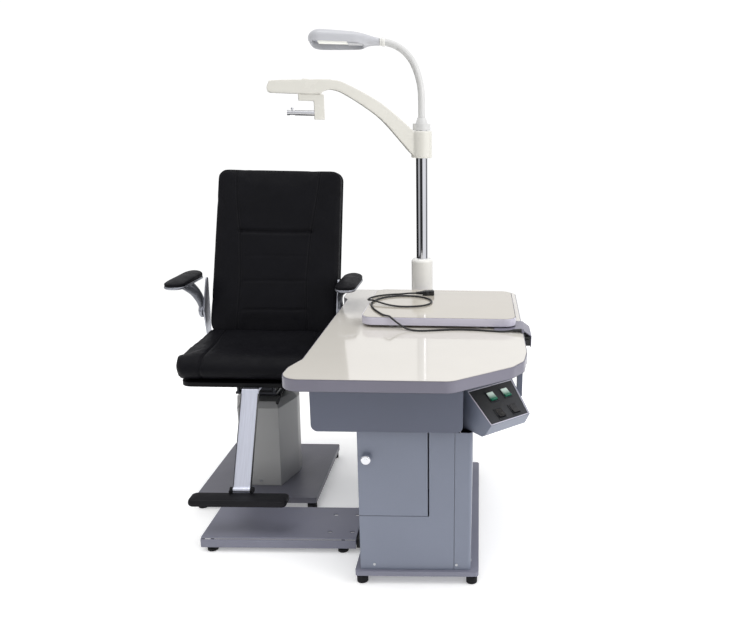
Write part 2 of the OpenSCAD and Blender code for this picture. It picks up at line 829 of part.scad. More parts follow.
module tilt_lever() {
  color(black) at_origin() {
    difference() {
      union() {
        hull() {
          translate([lift_x + 107.5, lever_pin[0], lever_pin[1]]) sphere(4, $fn = 16);
          translate([lift_x + 89, 93, 448]) sphere(3.5, $fn = 16);
        }
        hull() {
          translate([lift_x + 89, 93, 448]) sphere(5, $fn = 16);
          translate([lift_x + 76, 89, 420]) sphere(6, $fn = 16);
        }
      }
      block([lift_x + 90, 80, 487], [lift_x + 103.3, 120, 510]);
    }
    translate([lift_x + 98.2, lever_pin[0], lever_pin[1]]) rotate([0, 90, 0]) cylinder(r = 3, h = 8);
  }
}

// Side view of the seat cushion, drawn in Y and Z
module seat_side() {
  translate([27, 592]) circle(50);
  translate([27, 592]) square([20, 50]);
  translate([27, 542]) square([285, 96]);
  translate([312, 608]) circle(30);
  translate([312, 542]) square([30, 66]);
}

module seat_plan(g) {
  w = seat_w / 2;
  offset(r = 60 + g) offset(delta = -60)
    polygon([[-w, -30], [w, -30], [w, 150], [w - 28, 285], [w - 28, 345],
             [28 - w, 345], [28 - w, 285], [-w, 150]]);
}

module seat_shell() {
  color(black) at_origin() translate([chair_x, 0, seat_z]) linear_extrude(17) seat_plan(-14);
}

module seat_cushion() {
  color(black) at_origin() translate([chair_x, 0, 0]) intersection() {
    translate([0, 0, seat_z + 17.2]) linear_extrude(110) seat_plan(0);
    pull_x(-seat_w / 2, seat_w / 2) seat_side();
  }
}

// Local frame of the backrest: Z runs up its slope
module at_back() {
  translate([back_x, back_foot[0], back_foot[1]]) rotate([-back_lean, 0, 0]) children();
}

module back_plan(inset) {
  top_w = back_w - 8 - 2 * inset;
  low_w = back_w - 2 * inset;
  z1 = back_z0 + back_l - inset;
  offset(r = 38) offset(delta = -38)
    polygon([[-low_w / 2, back_z0 + inset], [low_w / 2, back_z0 + inset], [top_w / 2, z1], [-top_w / 2, z1]]);
}

module back_cushion() {
  color(black) at_origin() at_back() pull_y(-back_t / 2, back_t / 2) back_plan(0);
}

module back_shell() {
  color(black) at_origin() at_back() pull_y(back_t / 2 + 0.3, back_t / 2 + 18) back_plan(12);
}

// A strip of thickness t between two points
module bar_2d(a, b, t) {
  d = b - a;
  translate(a) rotate(atan2(d.y, d.x)) translate([0, -t / 2]) square([norm(d), t]);
}

// Crossbar under the seat, side plates with the armrest pins, and two bars behind the back
module chair_frame() {
  path = [[338, 520], [358, 520], [358, 620], [374.6, 671.4], [501.3, 1008.3]];
  color("silver") at_origin() {
    block([chair_x - 273.8, 322, 517], [chair_x + 273.8, 346, 522.9]);
    for (side = [-1, 1]) {
      pull_x(chair_x + side * 271.2 - 2.6, chair_x + side * 271.2 + 2.6) {
        hull() {
          translate([322, 548]) circle(12, $fn = 32);
          translate(hub) circle(24, $fn = 32);
          translate([338, 862]) circle(10, $fn = 32);
        }
        translate([310, 517]) square([24, 31]);
      }
      translate([chair_x + side * 273, hub[0], hub[1]]) rotate([0, side * 90, 0]) cylinder(r = 10, h = 16.8);
      pull_x(chair_x + side * 150 - 20, chair_x + side * 150 + 20) for (i = [0:3]) {
        bar_2d(path[i], path[i + 1], 5.8);
        if (i > 0) translate(path[i]) circle(2.9);
      }
    }
  }
}

module armrest_at(side) {
  color("gray") at_origin() translate([chair_x, 0, 0]) scale([side, 1, 1]) difference() {
    union() {
      translate([hub_in, hub[0], hub[1]]) rotate([0, 90, 0]) cylinder(r = 30, h = hub_out - hub_in);
      hull() {
        pull_x(hub_in + 1, hub_out) translate([hub[0], hub[1]]) circle(22, $fn = 32);
        pull_x(hub_in + 1, hub_out) translate([284, 806]) circle(18, $fn = 32);
      }
      hull() {
        pull_x(hub_in + 2, hub_out) translate([284, 808]) circle(16, $fn = 32);
        pull_x(316, 334) translate([256, 852]) circle(14, $fn = 32);
      }
      translate([pad_x, 252, 862]) linear_extrude(6) rrect(pad_size.x - 8, pad_size.y - 8, 34);
    }
    translate([hub_in - 1, hub[0], hub[1]]) rotate([0, 90, 0]) cylinder(r = 10.06, h = 17.1);
  }
}
module armrest_left() { armrest_at(-1); }
module armrest_right() { armrest_at(1); }

module pad_at(side) {
  color(black) at_origin() translate([chair_x + side * pad_x, 252, 868.3])
    linear_extrude(28) rrect(pad_size.x, pad_size.y, 38);
}
module armrest_pad_left() { pad_at(-1); }
module armrest_pad_right() { pad_at(1); }

module footrest_arm() {
  knee = [-30, 517.9];
  color("silver") at_origin() difference() {
    pull_x(foot_x - 31, foot_x + 31) {
      bar_2d([56, knee.y], knee, 10);
      translate(knee) circle(5);
      bar_2d(knee, tread_pin, 10);
      translate(tread_pin) circle(11);
    }
    translate([foot_x - 40, tread_pin.x, tread_pin.y]) rotate([0, 90, 0]) cylinder(r = 5.06, h = 80);
  }
}

module footrest_tread() {
  w = 345;
  color(black) at_origin() {
    translate([foot_x, -240, 162]) linear_extrude(24) rrect(w, 60, 16);
    for (side = [-1, 1]) pull_x(foot_x + side * 38 - 5, foot_x + side * 38 + 5) {
      translate(tread_pin) circle(10);
      translate([tread_pin.x - 18, tread_pin.y - 10]) square([18, 14]);
    }
    translate([foot_x - 43, tread_pin.x, tread_pin.y]) rotate([0, 90, 0]) cylinder(r = 5, h = 86);
  }
}

link_platform();
link_bars();
base_plate();
feet();
cabinet_body();
cabinet_side_cover();
power_supply();
cabinet_door();
door_hinge_pins();
door_knob();
screws();
apron_box();
table_top();
table_edge_band();
control_box();
control_panel();
rocker_green_left();
rocker_green_right();
rocker_black_left();
rocker_black_right();
tray_rails();
tray_carriage();
tray_board();
tray_edge_band();
outlet_block();
cord_gland();
cord();
cord_plug();
column_collar();
column_guide();
column_tube();
arm_casting();
arm_bushes();
phoropter_bracket();
phoropter_pin();
pin_screw();
lamp_ring();
lamp_neck();
lamp_shell();
lamp_socket();
lamp_tube();
chair_base_plate();
pedestal_cover();
lift_outer();
lift_inner();
lift_actuator();
actuator_rod();
seat_mechanism();
tilt_lever();
seat_shell();
seat_cushion();
back_cushion();
back_shell();
chair_frame();
armrest_left();
armrest_right();
armrest_pad_left();
armrest_pad_right();
footrest_arm();
footrest_tread();
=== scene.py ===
"""Ophthalmic refraction unit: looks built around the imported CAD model. Metres, +Z up."""

import json
import math

import bmesh
import bpy
import numpy as np
from mathutils import Matrix, Vector, noise
from mathutils.bvhtree import BVHTree

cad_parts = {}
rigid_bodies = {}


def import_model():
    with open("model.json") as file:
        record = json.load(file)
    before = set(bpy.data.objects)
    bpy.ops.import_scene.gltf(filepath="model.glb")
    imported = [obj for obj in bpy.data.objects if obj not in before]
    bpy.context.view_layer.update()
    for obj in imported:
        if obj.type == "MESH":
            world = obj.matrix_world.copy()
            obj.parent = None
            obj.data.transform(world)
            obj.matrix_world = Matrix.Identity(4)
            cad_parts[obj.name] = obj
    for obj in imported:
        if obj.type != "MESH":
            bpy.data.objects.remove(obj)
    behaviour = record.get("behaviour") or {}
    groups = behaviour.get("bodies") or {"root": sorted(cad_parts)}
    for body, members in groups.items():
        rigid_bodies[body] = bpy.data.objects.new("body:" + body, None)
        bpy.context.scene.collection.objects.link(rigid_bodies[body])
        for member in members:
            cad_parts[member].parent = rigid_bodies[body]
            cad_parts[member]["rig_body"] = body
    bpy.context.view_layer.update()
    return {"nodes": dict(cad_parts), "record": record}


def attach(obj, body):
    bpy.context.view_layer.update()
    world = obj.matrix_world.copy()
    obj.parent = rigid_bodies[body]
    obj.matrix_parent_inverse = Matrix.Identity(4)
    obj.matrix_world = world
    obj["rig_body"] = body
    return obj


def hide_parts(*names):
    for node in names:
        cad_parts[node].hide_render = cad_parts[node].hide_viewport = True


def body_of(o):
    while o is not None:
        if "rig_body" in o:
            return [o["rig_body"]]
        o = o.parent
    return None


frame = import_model()
scene = bpy.context.scene
nodes = frame["nodes"]

# The CAD model's own origin is moved by this much to stand under the middle of the unit
SHIFT = Vector((-0.004, 0.0190852, 0))


def at(x, y, z):
    """A point in the CAD source's millimetres, as metres in the model's frame."""
    return Vector((x, y, z)) / 1000 + SHIFT


# ---------------------------------------------------------------- camera

cam_data = bpy.data.cameras.new("camera")
cam = bpy.data.objects.new("camera", cam_data)
scene.collection.objects.link(cam)
cam_data.sensor_width = 36
cam_data.lens = 35.07408
cam_data.shift_x = -0.1537333
pitch, yaw, roll = (math.radians(a) for a in (15.153, -1.099, 1.191))
look = Vector((math.sin(-yaw) * math.cos(pitch), math.cos(yaw) * math.cos(pitch), -math.sin(pitch)))
cam.rotation_mode = "QUATERNION"
cam.rotation_quaternion = look.to_track_quat("-Z", "Y") @ Matrix.Rotation(roll, 4, "Z").to_quaternion()
cam.location = at(511.5, -2634.7, 1504.6)
scene.camera = cam
scene.view_settings.view_transform = "Standard"

# ---------------------------------------------------------------- materials


def rgb(r, g, b):
    """An 8-bit screen colour as linear RGBA."""
    def lin(v):
        v /= 255
        return v / 12.92 if v <= 0.04045 else ((v + 0.055) / 1.055) ** 2.4
    return (lin(r), lin(g), lin(b), 1.0)


def shade(c, k):
    """A colour made k times as bright."""
    return tuple(min(1.0, v * k) for v in c[:3]) + (1.0,)


class Tree:
    """A short way to write a material's nodes."""

    def __init__(self, name):
        self.mat = bpy.data.materials.new(name)
        self.mat.use_nodes = True
        self.nodes = self.mat.node_tree.nodes
        self.links = self.mat.node_tree.links
        self.bsdf = self.nodes["Principled BSDF"]
        self.coord = self.nodes.new("ShaderNodeTexCoord").outputs["Object"]

    def new(self, kind, **values):
        n = self.nodes.new("ShaderNode" + kind)
        for key, value in values.items():
            if isinstance(value, bpy.types.NodeSocket):
                self.links.new(value, n.inputs[key])
            elif key in n.inputs:
                n.inputs[key].default_value = value
            else:
                setattr(n, key, value)
        return n

    def stretched(self, scale):
        n = self.new("Mapping", Vector=self.coord)
        n.inputs["Scale"].default_value = scale
        return n.outputs[0]

    def noise(self, scale, detail=4.0, vector=None, rough=0.55):
        n = self.new("TexNoise", Vector=vector or self.coord, Scale=scale, Detail=detail, Roughness=rough)
        return n.outputs["Fac"]

    def span(self, value, lo, hi, from_lo=0.3, from_hi=0.7):
        n = self.new("MapRange", Value=value)
        for i, v in zip(("From Min", "From Max", "To Min", "To Max"), (from_lo, from_hi, lo, hi)):
            n.inputs[i].default_value = v
        return n.outputs[0]

    def mix(self, fac, a, b):
        n = self.nodes.new("ShaderNodeMix")
        n.data_type = "RGBA"
        for i, v in ((0, fac), (6, a), (7, b)):
            if isinstance(v, bpy.types.NodeSocket):
                self.links.new(v, n.inputs[i])
            else:
                n.inputs[i].default_value = v
        return n.outputs[2]

    def bump(self, height, strength, distance=0.001, normal=None):
        n = self.new("Bump", Height=height, Strength=strength, Distance=distance)
        if normal:
            self.links.new(normal, n.inputs["Normal"])
        return n.outputs[0]

    def out(self, **values):
        for key, value in values.items():
            key = key.replace("_", " ")
            if isinstance(value, bpy.types.NodeSocket):
                self.links.new(value, self.bsdf.inputs[key])
            else:
                self.bsdf.inputs[key].default_value = value
        return self.mat


def finish_of(name, color, rough, metallic=0.0, coat=0.0, var=0.05, patch=3.0, peel=0.05, grain=700,
              spread=0.06, along=None, distance=0.0006, specular=0.5, dust=0.0, folded=0.0):
    """Paint, plastic or metal: slow drift of colour, uneven gloss and a fine surface.

    along stretches the grain as brushing does, and folded is the radius that sheet edges are rolled to."""
    t = Tree(name)
    v = t.stretched(along) if along else None
    slow = t.noise(patch, 3.0)
    fine = t.noise(grain, 2.0, v)
    base = t.mix(t.span(slow, 0, 1), shade(color, 1 - var), shade(color, 1 + var))
    if dust:
        specks = t.span(t.noise(grain * 0.6, 1.0), 0.0, dust, 0.62, 0.75)
        base = t.mix(specks, base, shade(color, 1.7))
    if along:
        base = t.mix(t.span(fine, 0.0, 0.35), base, shade(color, 0.72))
    gloss = t.span(t.noise(patch * 4, 5.0), max(0.02, rough - spread), rough + spread)
    fold = t.new("Bevel", samples=6, Radius=folded).outputs[0] if folded else None
    return t.out(Base_Color=base, Roughness=gloss, Metallic=metallic, Coat_Weight=coat,
                 Coat_Roughness=0.06, Specular_IOR_Level=specular,
                 Normal=t.bump(fine, peel, distance, fold))


def leather(name, color):
    """Grained leather: pebbles parted by creases darkened as painted shade, pores, and broad folds that are a
    little paler.
    """
    t = Tree(name)
    warp = t.new("VectorMath", operation="MULTIPLY_ADD")
    wobble = t.new("TexNoise", Vector=t.coord, Scale=60.0, Detail=2.0).outputs["Color"]
    t.links.new(wobble, warp.inputs[0])
    warp.inputs[1].default_value = (0.006, 0.006, 0.006)
    t.links.new(t.coord, warp.inputs[2])
    cells = t.new("TexVoronoi", Vector=warp.outputs[0], Scale=420.0, feature="DISTANCE_TO_EDGE")
    pebble = t.span(cells.outputs["Distance"], 0.0, 1.0, 0.0, 0.12)
    pores = t.noise(1500.0, 2.0)
    folds = t.noise(9.0, 5.0, rough=0.6)
    # Painted shade: the creases between the pebbles are darkened
    base = t.mix(pebble, shade(color, 0.45), color)
    base = t.mix(t.span(folds, 0.0, 0.5), base, shade(color, 1.5))
    n1 = t.bump(folds, 0.35, 0.004)
    n2 = t.bump(pebble, 0.32, 0.0005, n1)
    n3 = t.bump(pores, 0.12, 0.0002, n2)
    gloss = t.span(t.noise(30.0, 3.0), 0.44, 0.58)
    return t.out(Base_Color=base, Roughness=gloss, Specular_IOR_Level=0.09, Normal=n3)


def laminate(name, color):
    """Glossy board: faint flow of tone, fine flecks and scuffs along y."""
    t = Tree(name)
    flow = t.noise(2.2, 4.0)
    fleck = t.noise(260.0, 2.0)
    base = t.mix(t.span(flow, 0, 1), shade(color, 0.97), shade(color, 1.03))
    base = t.mix(t.span(fleck, 0.0, 0.1, 0.5, 0.8), base, shade(color, 0.8))
    scuff = t.noise(14.0, 8.0, t.stretched((1, 0.2, 1)))
    return t.out(Base_Color=base, Roughness=t.span(scuff, 0.05, 0.15), Coat_Weight=0.3, Coat_Roughness=0.04,
                 Normal=t.bump(t.noise(30.0, 2.0), 0.03, 0.001))


def glowing(name, color, strength):
    """A diffuser that is a little lit from inside."""
    t = Tree(name)
    base = t.mix(t.span(t.noise(40.0, 3.0), 0, 1), shade(color, 0.94), color)
    return t.out(Base_Color=base, Roughness=t.span(t.noise(20.0), 0.3, 0.5), Emission_Color=color,
                 Emission_Strength=strength)


def two_tone(name, low, high, level):
    """Bright steel over dark enamelled steel, parted at a height."""
    t = Tree(name)
    height = t.new("SeparateXYZ", Vector=t.coord).outputs["Z"]
    above = t.span(height, 0.0, 1.0, level - 0.001, level + 0.001)
    patchy = t.mix(t.span(t.noise(9.0, 3.0), 0, 1), shade(high, 0.92), shade(high, 1.06))
    metal = t.span(height, 0.0, 0.8, level - 0.001, level + 0.001)
    return t.out(Base_Color=t.mix(above, low, patchy), Metallic=metal,
                 Roughness=t.span(t.noise(25.0, 4.0), 0.28, 0.4), Specular_IOR_Level=0.3,
                 Normal=t.bump(t.noise(500.0, 2.0), 0.1, 0.0006))


# Directions on the control box's sloping face
TURN, SLOPE = math.radians(40), math.radians(32.5)
FACE_U = Vector((math.cos(TURN), math.sin(TURN), 0))
FACE_V = Vector((-math.sin(TURN), math.cos(TURN), 0))
FACE_W = FACE_V * math.cos(SLOPE) + Vector((0, 0, math.sin(SLOPE)))
FACE_N = -FACE_V * math.sin(SLOPE) + Vector((0, 0, math.cos(SLOPE)))
LIP = at(561.3, -537, 603)


def on_face(x, y, n=0.0):
    """A point on the control box's sloping face, in millimetres from its lip, n above the face."""
    return LIP + (FACE_U * x + FACE_W * y + FACE_N * n) / 1000


def lens_green(name):
    """A translucent rocker: pale on its upper half, a painted highlight, deep teal at its lower half."""
    t = Tree(name)
    dot = t.new("VectorMath", operation="DOT_PRODUCT")
    t.links.new(t.coord, dot.inputs[0])
    dot.inputs[1].default_value = FACE_W
    mid = on_face(0, 99).dot(FACE_W)
    # Painted highlight: the rocker is made pale above a line across its middle
    pale = t.span(dot.outputs["Value"], 0.0, 1.0, mid - 0.009, mid + 0.009)
    ribs = t.new("TexWave", Vector=t.coord, Scale=180.0, bands_direction="X")
    base = t.mix(pale, rgb(28, 118, 92), rgb(226, 246, 238))
    return t.out(Base_Color=base, Roughness=t.span(t.noise(80.0), 0.14, 0.26), Coat_Weight=0.6,
                 Coat_Roughness=0.05, Transmission_Weight=0.1,
                 Normal=t.bump(ribs.outputs["Fac"], 0.05, 0.0003))


FINISHES = {
    "floor_paint": dict(color=rgb(120, 121, 136), rough=0.42, peel=0.16, grain=900, dust=0.25,
                        folded=0.003),
    "cabinet_paint": dict(color=rgb(118, 124, 140), rough=0.36, peel=0.14, grain=800, dust=0.12,
                          folded=0.003),
    "rubber": dict(color=rgb(24, 24, 27), rough=0.6, var=0.25, peel=0.3, grain=500, specular=0.15),
    "black_paint": dict(color=rgb(20, 20, 23), rough=0.4, var=0.15, peel=0.12, grain=600, specular=0.25),
    "steel": dict(color=rgb(176, 178, 184), rough=0.34, metallic=1.0, peel=0.1, grain=300,
                  along=(1, 1, 0.04)),
    "zinc": dict(color=rgb(188, 190, 194), rough=0.32, metallic=1.0, var=0.12, patch=30.0, peel=0.08),
    "chrome": dict(color=rgb(214, 215, 219), rough=0.06, metallic=1.0, var=0.03, peel=0.02, spread=0.03,
                   grain=200),
    # A darker copy of the cabinet paint, for the apron under the tabletop's overhang: painted shade
    "shaded_cabinet_paint": dict(color=rgb(86, 91, 108), rough=0.36, peel=0.14, grain=800, dust=0.12, folded=0.003),
    # Darker for the chair's base plate under the seat: painted shade
    "shaded_chair_plate": dict(color=rgb(98, 98, 108), rough=0.42, peel=0.16, grain=900, dust=0.2, folded=0.003),
    # A paler copy of the edge band for the tray's band: painted light
    "lit_tray_band": dict(color=rgb(206, 203, 217), rough=0.32, peel=0.06, coat=0.2),
    "lamp_grey": dict(color=rgb(198, 199, 204), rough=0.3, var=0.03, peel=0.06, coat=0.2),
    "neck_white": dict(color=rgb(216, 216, 215), rough=0.3, var=0.03, peel=0.1, coat=0.2),
    "shell_black": dict(color=rgb(11, 11, 13), rough=0.5, var=0.2, peel=0.2, grain=600, specular=0.12),
    "mech_paint": dict(color=rgb(44, 46, 52), rough=0.5, var=0.1, peel=0.1, specular=0.25),
    # Darker for the table's front band: painted shade
    "edge_band": dict(color=rgb(116, 114, 128), rough=0.34, peel=0.06, coat=0.15),
    "panel": dict(color=rgb(30, 32, 37), rough=0.4, var=0.2, peel=0.3, grain=1200),
    "black_plastic": dict(color=rgb(22, 22, 25), rough=0.26, var=0.2, peel=0.12, grain=900),
    "white_paint": dict(color=rgb(238, 237, 233), rough=0.22, var=0.02, peel=0.05, coat=0.4),
    "cream_paint": dict(color=rgb(227, 225, 217), rough=0.24, var=0.03, peel=0.07, coat=0.4, grain=400),
    "cover_plastic": dict(color=rgb(168, 168, 167), rough=0.35, var=0.05, peel=0.14, grain=700,
                          folded=0.006),
    "brass": dict(color=rgb(188, 158, 98), rough=0.3, metallic=1.0, var=0.12, along=(1, 1, 30)),
    "shade": dict(color=rgb(226, 227, 230), rough=0.26, var=0.03, peel=0.06, coat=0.3),
    "cord": dict(color=rgb(24, 24, 26), rough=0.42, var=0.2, peel=0.2, grain=900),
    # A darker copy of the silver paint for the armrests' bars: painted shade
    "shaded_silver": dict(color=rgb(112, 114, 121), rough=0.34, metallic=0.75, var=0.08, peel=0.12),
    "silver_paint": dict(color=rgb(150, 152, 160), rough=0.3, metallic=0.75, var=0.08, peel=0.12, dust=0.2),
    "aluminium": dict(color=rgb(208, 211, 223), rough=0.34, metallic=0.85, along=(1, 0.05, 0.05),
                      grain=260, peel=0.1),
}
MATS = {name: finish_of(name, **look) for name, look in FINISHES.items()}
MATS["frame_steel"] = two_tone("frame_steel", rgb(24, 25, 29), rgb(168, 170, 178), 0.53)
MATS["laminate"] = laminate("laminate", rgb(212, 208, 201))
MATS["tray_laminate"] = laminate("tray_laminate", rgb(190, 184, 173))
MATS["green"] = lens_green("green")
MATS["lamp_glass"] = glowing("lamp_glass", rgb(246, 246, 240), 0.25)
MATS["leather"] = leather("leather", rgb(15, 15, 19))
STITCH = finish_of("stitch_thread", rgb(20, 20, 22), 0.7, var=0.3, peel=0.4, grain=2500, distance=0.0002)
# Near-black for the connector's holes: painted shade
HOLE_SHADE = finish_of("painted_hole_shade", rgb(14, 14, 16), 0.7, var=0.3, peel=0.1)

# ---------------------------------------------------------------- small tools


def piece(name, mesh, slot, body, *replaced, mat=None, smooth=True):
    """A new visible piece, riding on a body and standing for the replaced CAD nodes."""
    o = bpy.data.objects.new(name, mesh)
    scene.collection.objects.link(o)
    mesh.materials.clear()
    mesh.materials.append(mat or MATS[slot])
    if smooth and isinstance(mesh, bpy.types.Mesh):
        mesh.polygons.foreach_set("use_smooth", [True] * len(mesh.polygons))
        mesh.update()
    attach(o, body)
    if replaced:
        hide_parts(*replaced)
    return o


def from_bm(bm, name):
    bmesh.ops.recalc_face_normals(bm, faces=bm.faces)
    me = bpy.data.meshes.new(name)
    bm.to_mesh(me)
    bm.free()
    return me


def modify(o, kind, **values):
    """Adds a modifier."""
    m = o.modifiers.new(kind.lower(), kind)
    for key, value in values.items():
        setattr(m, key, value)


def bake(o):
    """Applies an object's modifiers to its mesh."""
    dg = bpy.context.evaluated_depsgraph_get()
    me = bpy.data.meshes.new_from_object(o.evaluated_get(dg))
    old = o.data
    o.modifiers.clear()
    o.data = me
    bpy.data.meshes.remove(old)
    return o


def coords(me):
    v = np.empty(len(me.vertices) * 3)
    me.vertices.foreach_get("co", v)
    return v.reshape(-1, 3)


def set_coords(me, v):
    me.vertices.foreach_set("co", v.ravel())
    me.update()


def loft(rings, closed=True, cap=True):
    """A skin through rings of points, each with the same count."""
    bm = bmesh.new()
    rows = [[bm.verts.new(p) for p in ring] for ring in rings]
    n = len(rows[0])
    for a, b in zip(rows, rows[1:]):
        for k in range(n if closed else n - 1):
            bm.faces.new((a[k], a[(k + 1) % n], b[(k + 1) % n], b[k]))
    if cap:
        for row in (rows[0], rows[-1]):
            mid = bm.verts.new(sum((v.co for v in row), Vector()) / n)
            for k in range(n):
                bm.faces.new((row[k], row[(k + 1) % n], mid))
    return bm


def catmull(points, steps):
    """steps + 1 points evenly spaced in parameter on the smooth curve through the points."""
    pts = [Vector(p) for p in points]
    n = len(pts) - 1
    out = []
    for s in range(steps + 1):
        t = s * n / steps
        i = min(int(t), n - 1)
        f = t - i
        a, b, c, d = pts[max(i - 1, 0)], pts[i], pts[i + 1], pts[min(i + 2, n)]
        out.append(0.5 * (2 * b + (c - a) * f + (2 * a - 5 * b + 4 * c - d) * f * f
                          + (3 * b - a - 3 * c + d) * f ** 3))
    return out


def tube(name, points, radius, slot, body, mat=None):
    """A round tube of eight sides along points."""
    sides = 8
    rings = []
    side = None
    for i, p in enumerate(points):
        t = (points[min(i + 1, len(points) - 1)] - points[max(i - 1, 0)]).normalized()
        if side is None:
            side = t.cross(Vector((0, 0, 1)))
            if side.length < 0.01:
                side = t.cross(Vector((0, 1, 0)))
        side = (side - t * side.dot(t)).normalized()
        up = side.cross(t)
        rings.append([p + (side * math.cos(a) + up * math.sin(a)) * radius
                      for a in (2 * math.pi * k / sides for k in range(sides))])
    piece(name, from_bm(loft(rings), name), slot, body, mat=mat)


def lathe(profile, place, axis, steps=64):
    """A turned shape: (radius, height) pairs about an axis through place."""
    axis = Vector(axis).normalized()
    u = axis.orthogonal().normalized()
    w = axis.cross(u)
    rings = []
    for r, h in profile:
        rings.append([place + axis * h + (u * math.cos(a) + w * math.sin(a)) * max(r, 1e-5)
                      for a in (2 * math.pi * k / steps for k in range(steps))])
    return loft(rings)


def round_rect(w, d, r, steps):
    """Outline points of a rectangle with round corners, anticlockwise."""
    out = []
    for cx, cy, a0 in ((w / 2 - r, d / 2 - r, 0), (r - w / 2, d / 2 - r, 90), (r - w / 2, r - d / 2, 180),
                       (w / 2 - r, r - d / 2, 270)):
        for k in range(steps + 1):
            a = math.radians(a0 + 90 * k / steps)
            out.append((cx + r * math.cos(a), cy + r * math.sin(a)))
    return out


def edged(width, *names, smooth=False):
    """Rolled edges on sheet metal and boards, so that they catch the light; flat sheets stay flat-shaded."""
    for name in names:
        o = nodes[name]
        modify(o, "WELD", merge_threshold=0.00002)
        if smooth:
            modify(o, "DECIMATE", decimate_type="DISSOLVE", angle_limit=math.radians(1))
        modify(o, "BEVEL", width=width, segments=3, limit_method="ANGLE", use_clamp_overlap=False,
               angle_limit=math.radians(32))
        if smooth:
            modify(o, "WEIGHTED_NORMAL", weight=90, keep_sharp=False)
        o.data.polygons.foreach_set("use_smooth", [smooth] * len(o.data.polygons))


# ---------------------------------------------------------------- cord

# Heights of the cord's middle where it lies on the tabletop and on the tray
CORD_Z = 783.9
LAY_Z = 823.3
EXIT = (640, -104, 789)
ROUTE = [EXIT, (622, -104, 786), (600, -102, CORD_Z), (560, -96, CORD_Z), (515, -88, CORD_Z),
         (470, -84, CORD_Z), (425, -86, CORD_Z), (380, -95, CORD_Z), (340, -104, CORD_Z), (300, -108, CORD_Z),
         (266, -100, 786), (242, -88, 794), (222, -80, 806), (206, -74, 817), (194, -68, LAY_Z + 1.6),
         (180, -56, LAY_Z + 1.2), (166, -38, LAY_Z), (151, -12, LAY_Z), (134, 20, LAY_Z), (118, 58, LAY_Z),
         (106, 98, LAY_Z), (102, 136, LAY_Z), (108, 176, LAY_Z), (126, 216, LAY_Z), (156, 248, LAY_Z),
         (196, 266, LAY_Z), (240, 268, LAY_Z), (282, 254, LAY_Z), (316, 222, LAY_Z), (332, 180, LAY_Z),
         (326, 138, LAY_Z), (300, 106, LAY_Z), (258, 90, LAY_Z), (212, 90, LAY_Z), (170, 104, LAY_Z + 2),
         (134, 126, LAY_Z + 5.5), (106, 148, LAY_Z + 8), (84, 174, LAY_Z + 3), (80, 206, LAY_Z),
         (94, 240, LAY_Z), (122, 268, LAY_Z), (158, 288, LAY_Z), (196, 298, LAY_Z), (230, 296, LAY_Z + 4),
         (262, 290, LAY_Z + 7)]
CORD_R = 0.0035
CORD_STEPS = 312
line = catmull([at(*p) for p in ROUTE], CORD_STEPS)
curve = bpy.data.curves.new("mains_lead", "CURVE")
curve.dimensions = "3D"
spline = curve.splines.new("POLY")
spline.points.add(len(line) - 1)
for pt, p in zip(spline.points, line):
    pt.co = (*p, 1)
curve.bevel_depth = CORD_R
curve.bevel_resolution = 4
curve.use_fill_caps = True
lead = piece("mains_lead", curve, "cord", "tray", "cord")

# Connector on the lead's end: ribbed strain relief, shoulder, moulded body with a finger grip
PLUG = Matrix.Translation(at(262, 290, LAY_Z + 7)) @ Matrix.Rotation(math.radians(14), 4, "Z")


def plug_rings():
    """Stations along the connector: place, half width, half height, corner radius and drop."""
    rings = [(0, 4.7, 4.7, 4.6, 0.0), (0.4, 5.3, 5.3, 5.2, 0.0)]
    for k in range(6):
        x = 2.0 + k * 4
        grow = 5.2 + 0.42 * k
        for dx, dr in ((0, 0.5), (1.9, 0.6), (2.1, -0.5), (3.8, -0.45)):
            rings.append((x + dx, grow + dr, grow + dr, grow + dr - 0.1, 0.0))
    rings += [(26.4, 8.6, 8.2, 5.5, -1), (27.2, 9.6, 9.0, 3.5, -1), (35.2, 10.4, 9.4, 3.2, -1),
              (37.2, 12.9, 9.6, 3.0, -0.7), (39, 13.4, 9.9, 3.0, -0.5), (48, 13.5, 9.9, 3.0, -0.5),
              (49, 12.9, 9.3, 3.0, -0.5), (50.4, 12.9, 9.3, 3.0, -0.5), (51.4, 13.5, 9.9, 3.0, -0.5),
              (71.2, 13.5, 9.9, 3.0, -0.5), (72.1, 12.6, 9.1, 2.6, -0.5)]
    return rings


bm = loft([[PLUG @ (Vector((x, y, z + dz)) / 1000) for y, z in round_rect(2 * w, 2 * h, r, 6)]
           for x, w, h, r, dz in plug_rings()])
for sy in (-1, 1):
    for k in range(5):
        bmesh.ops.create_cube(bm, size=1, matrix=PLUG @ Matrix.Translation(
            (0.0555 + 0.003 * k, sy * 0.0134, -0.0005)) @ Matrix.Diagonal((0.0012, 0.0008, 0.012, 1)))
plug = piece("lead_connector", from_bm(bm, "lead_connector"), "black_plastic", "tray", "cord_plug")
modify(plug, "BEVEL", width=0.0004, segments=2, limit_method="ANGLE", angle_limit=math.radians(40))
bake(plug)
# Thin dark boxes in the connector's face stand for its three holes: painted shade
bm = bmesh.new()
for dy, dz in ((-4, 2.5), (4, 2.5), (0, -2.5)):
    bmesh.ops.create_cube(bm, size=1, matrix=PLUG @ Matrix.Translation(
        (0.0721, dy / 1000, (dz - 0.5) / 1000)) @ Matrix.Diagonal((0.0003, 0.0016, 0.0052, 1)))
hole_shade = piece("connector_hole_shade", from_bm(bm, "connector_hole_shade"), "black_plastic", "tray", mat=HOLE_SHADE)

# ---------------------------------------------------------------- stage and light

FLOOR_SIZE = 6
bpy.ops.mesh.primitive_plane_add(size=FLOOR_SIZE, location=(0, 0, -0.0012))
floor = bpy.context.object
floor.name = "floor"
floor.data.materials.append(Tree("floor").out(
    Base_Color=(0.95, 0.95, 0.95, 1), Roughness=0.8, Specular_IOR_Level=0.1,
    Emission_Color=(1, 1, 1, 1), Emission_Strength=0.24))

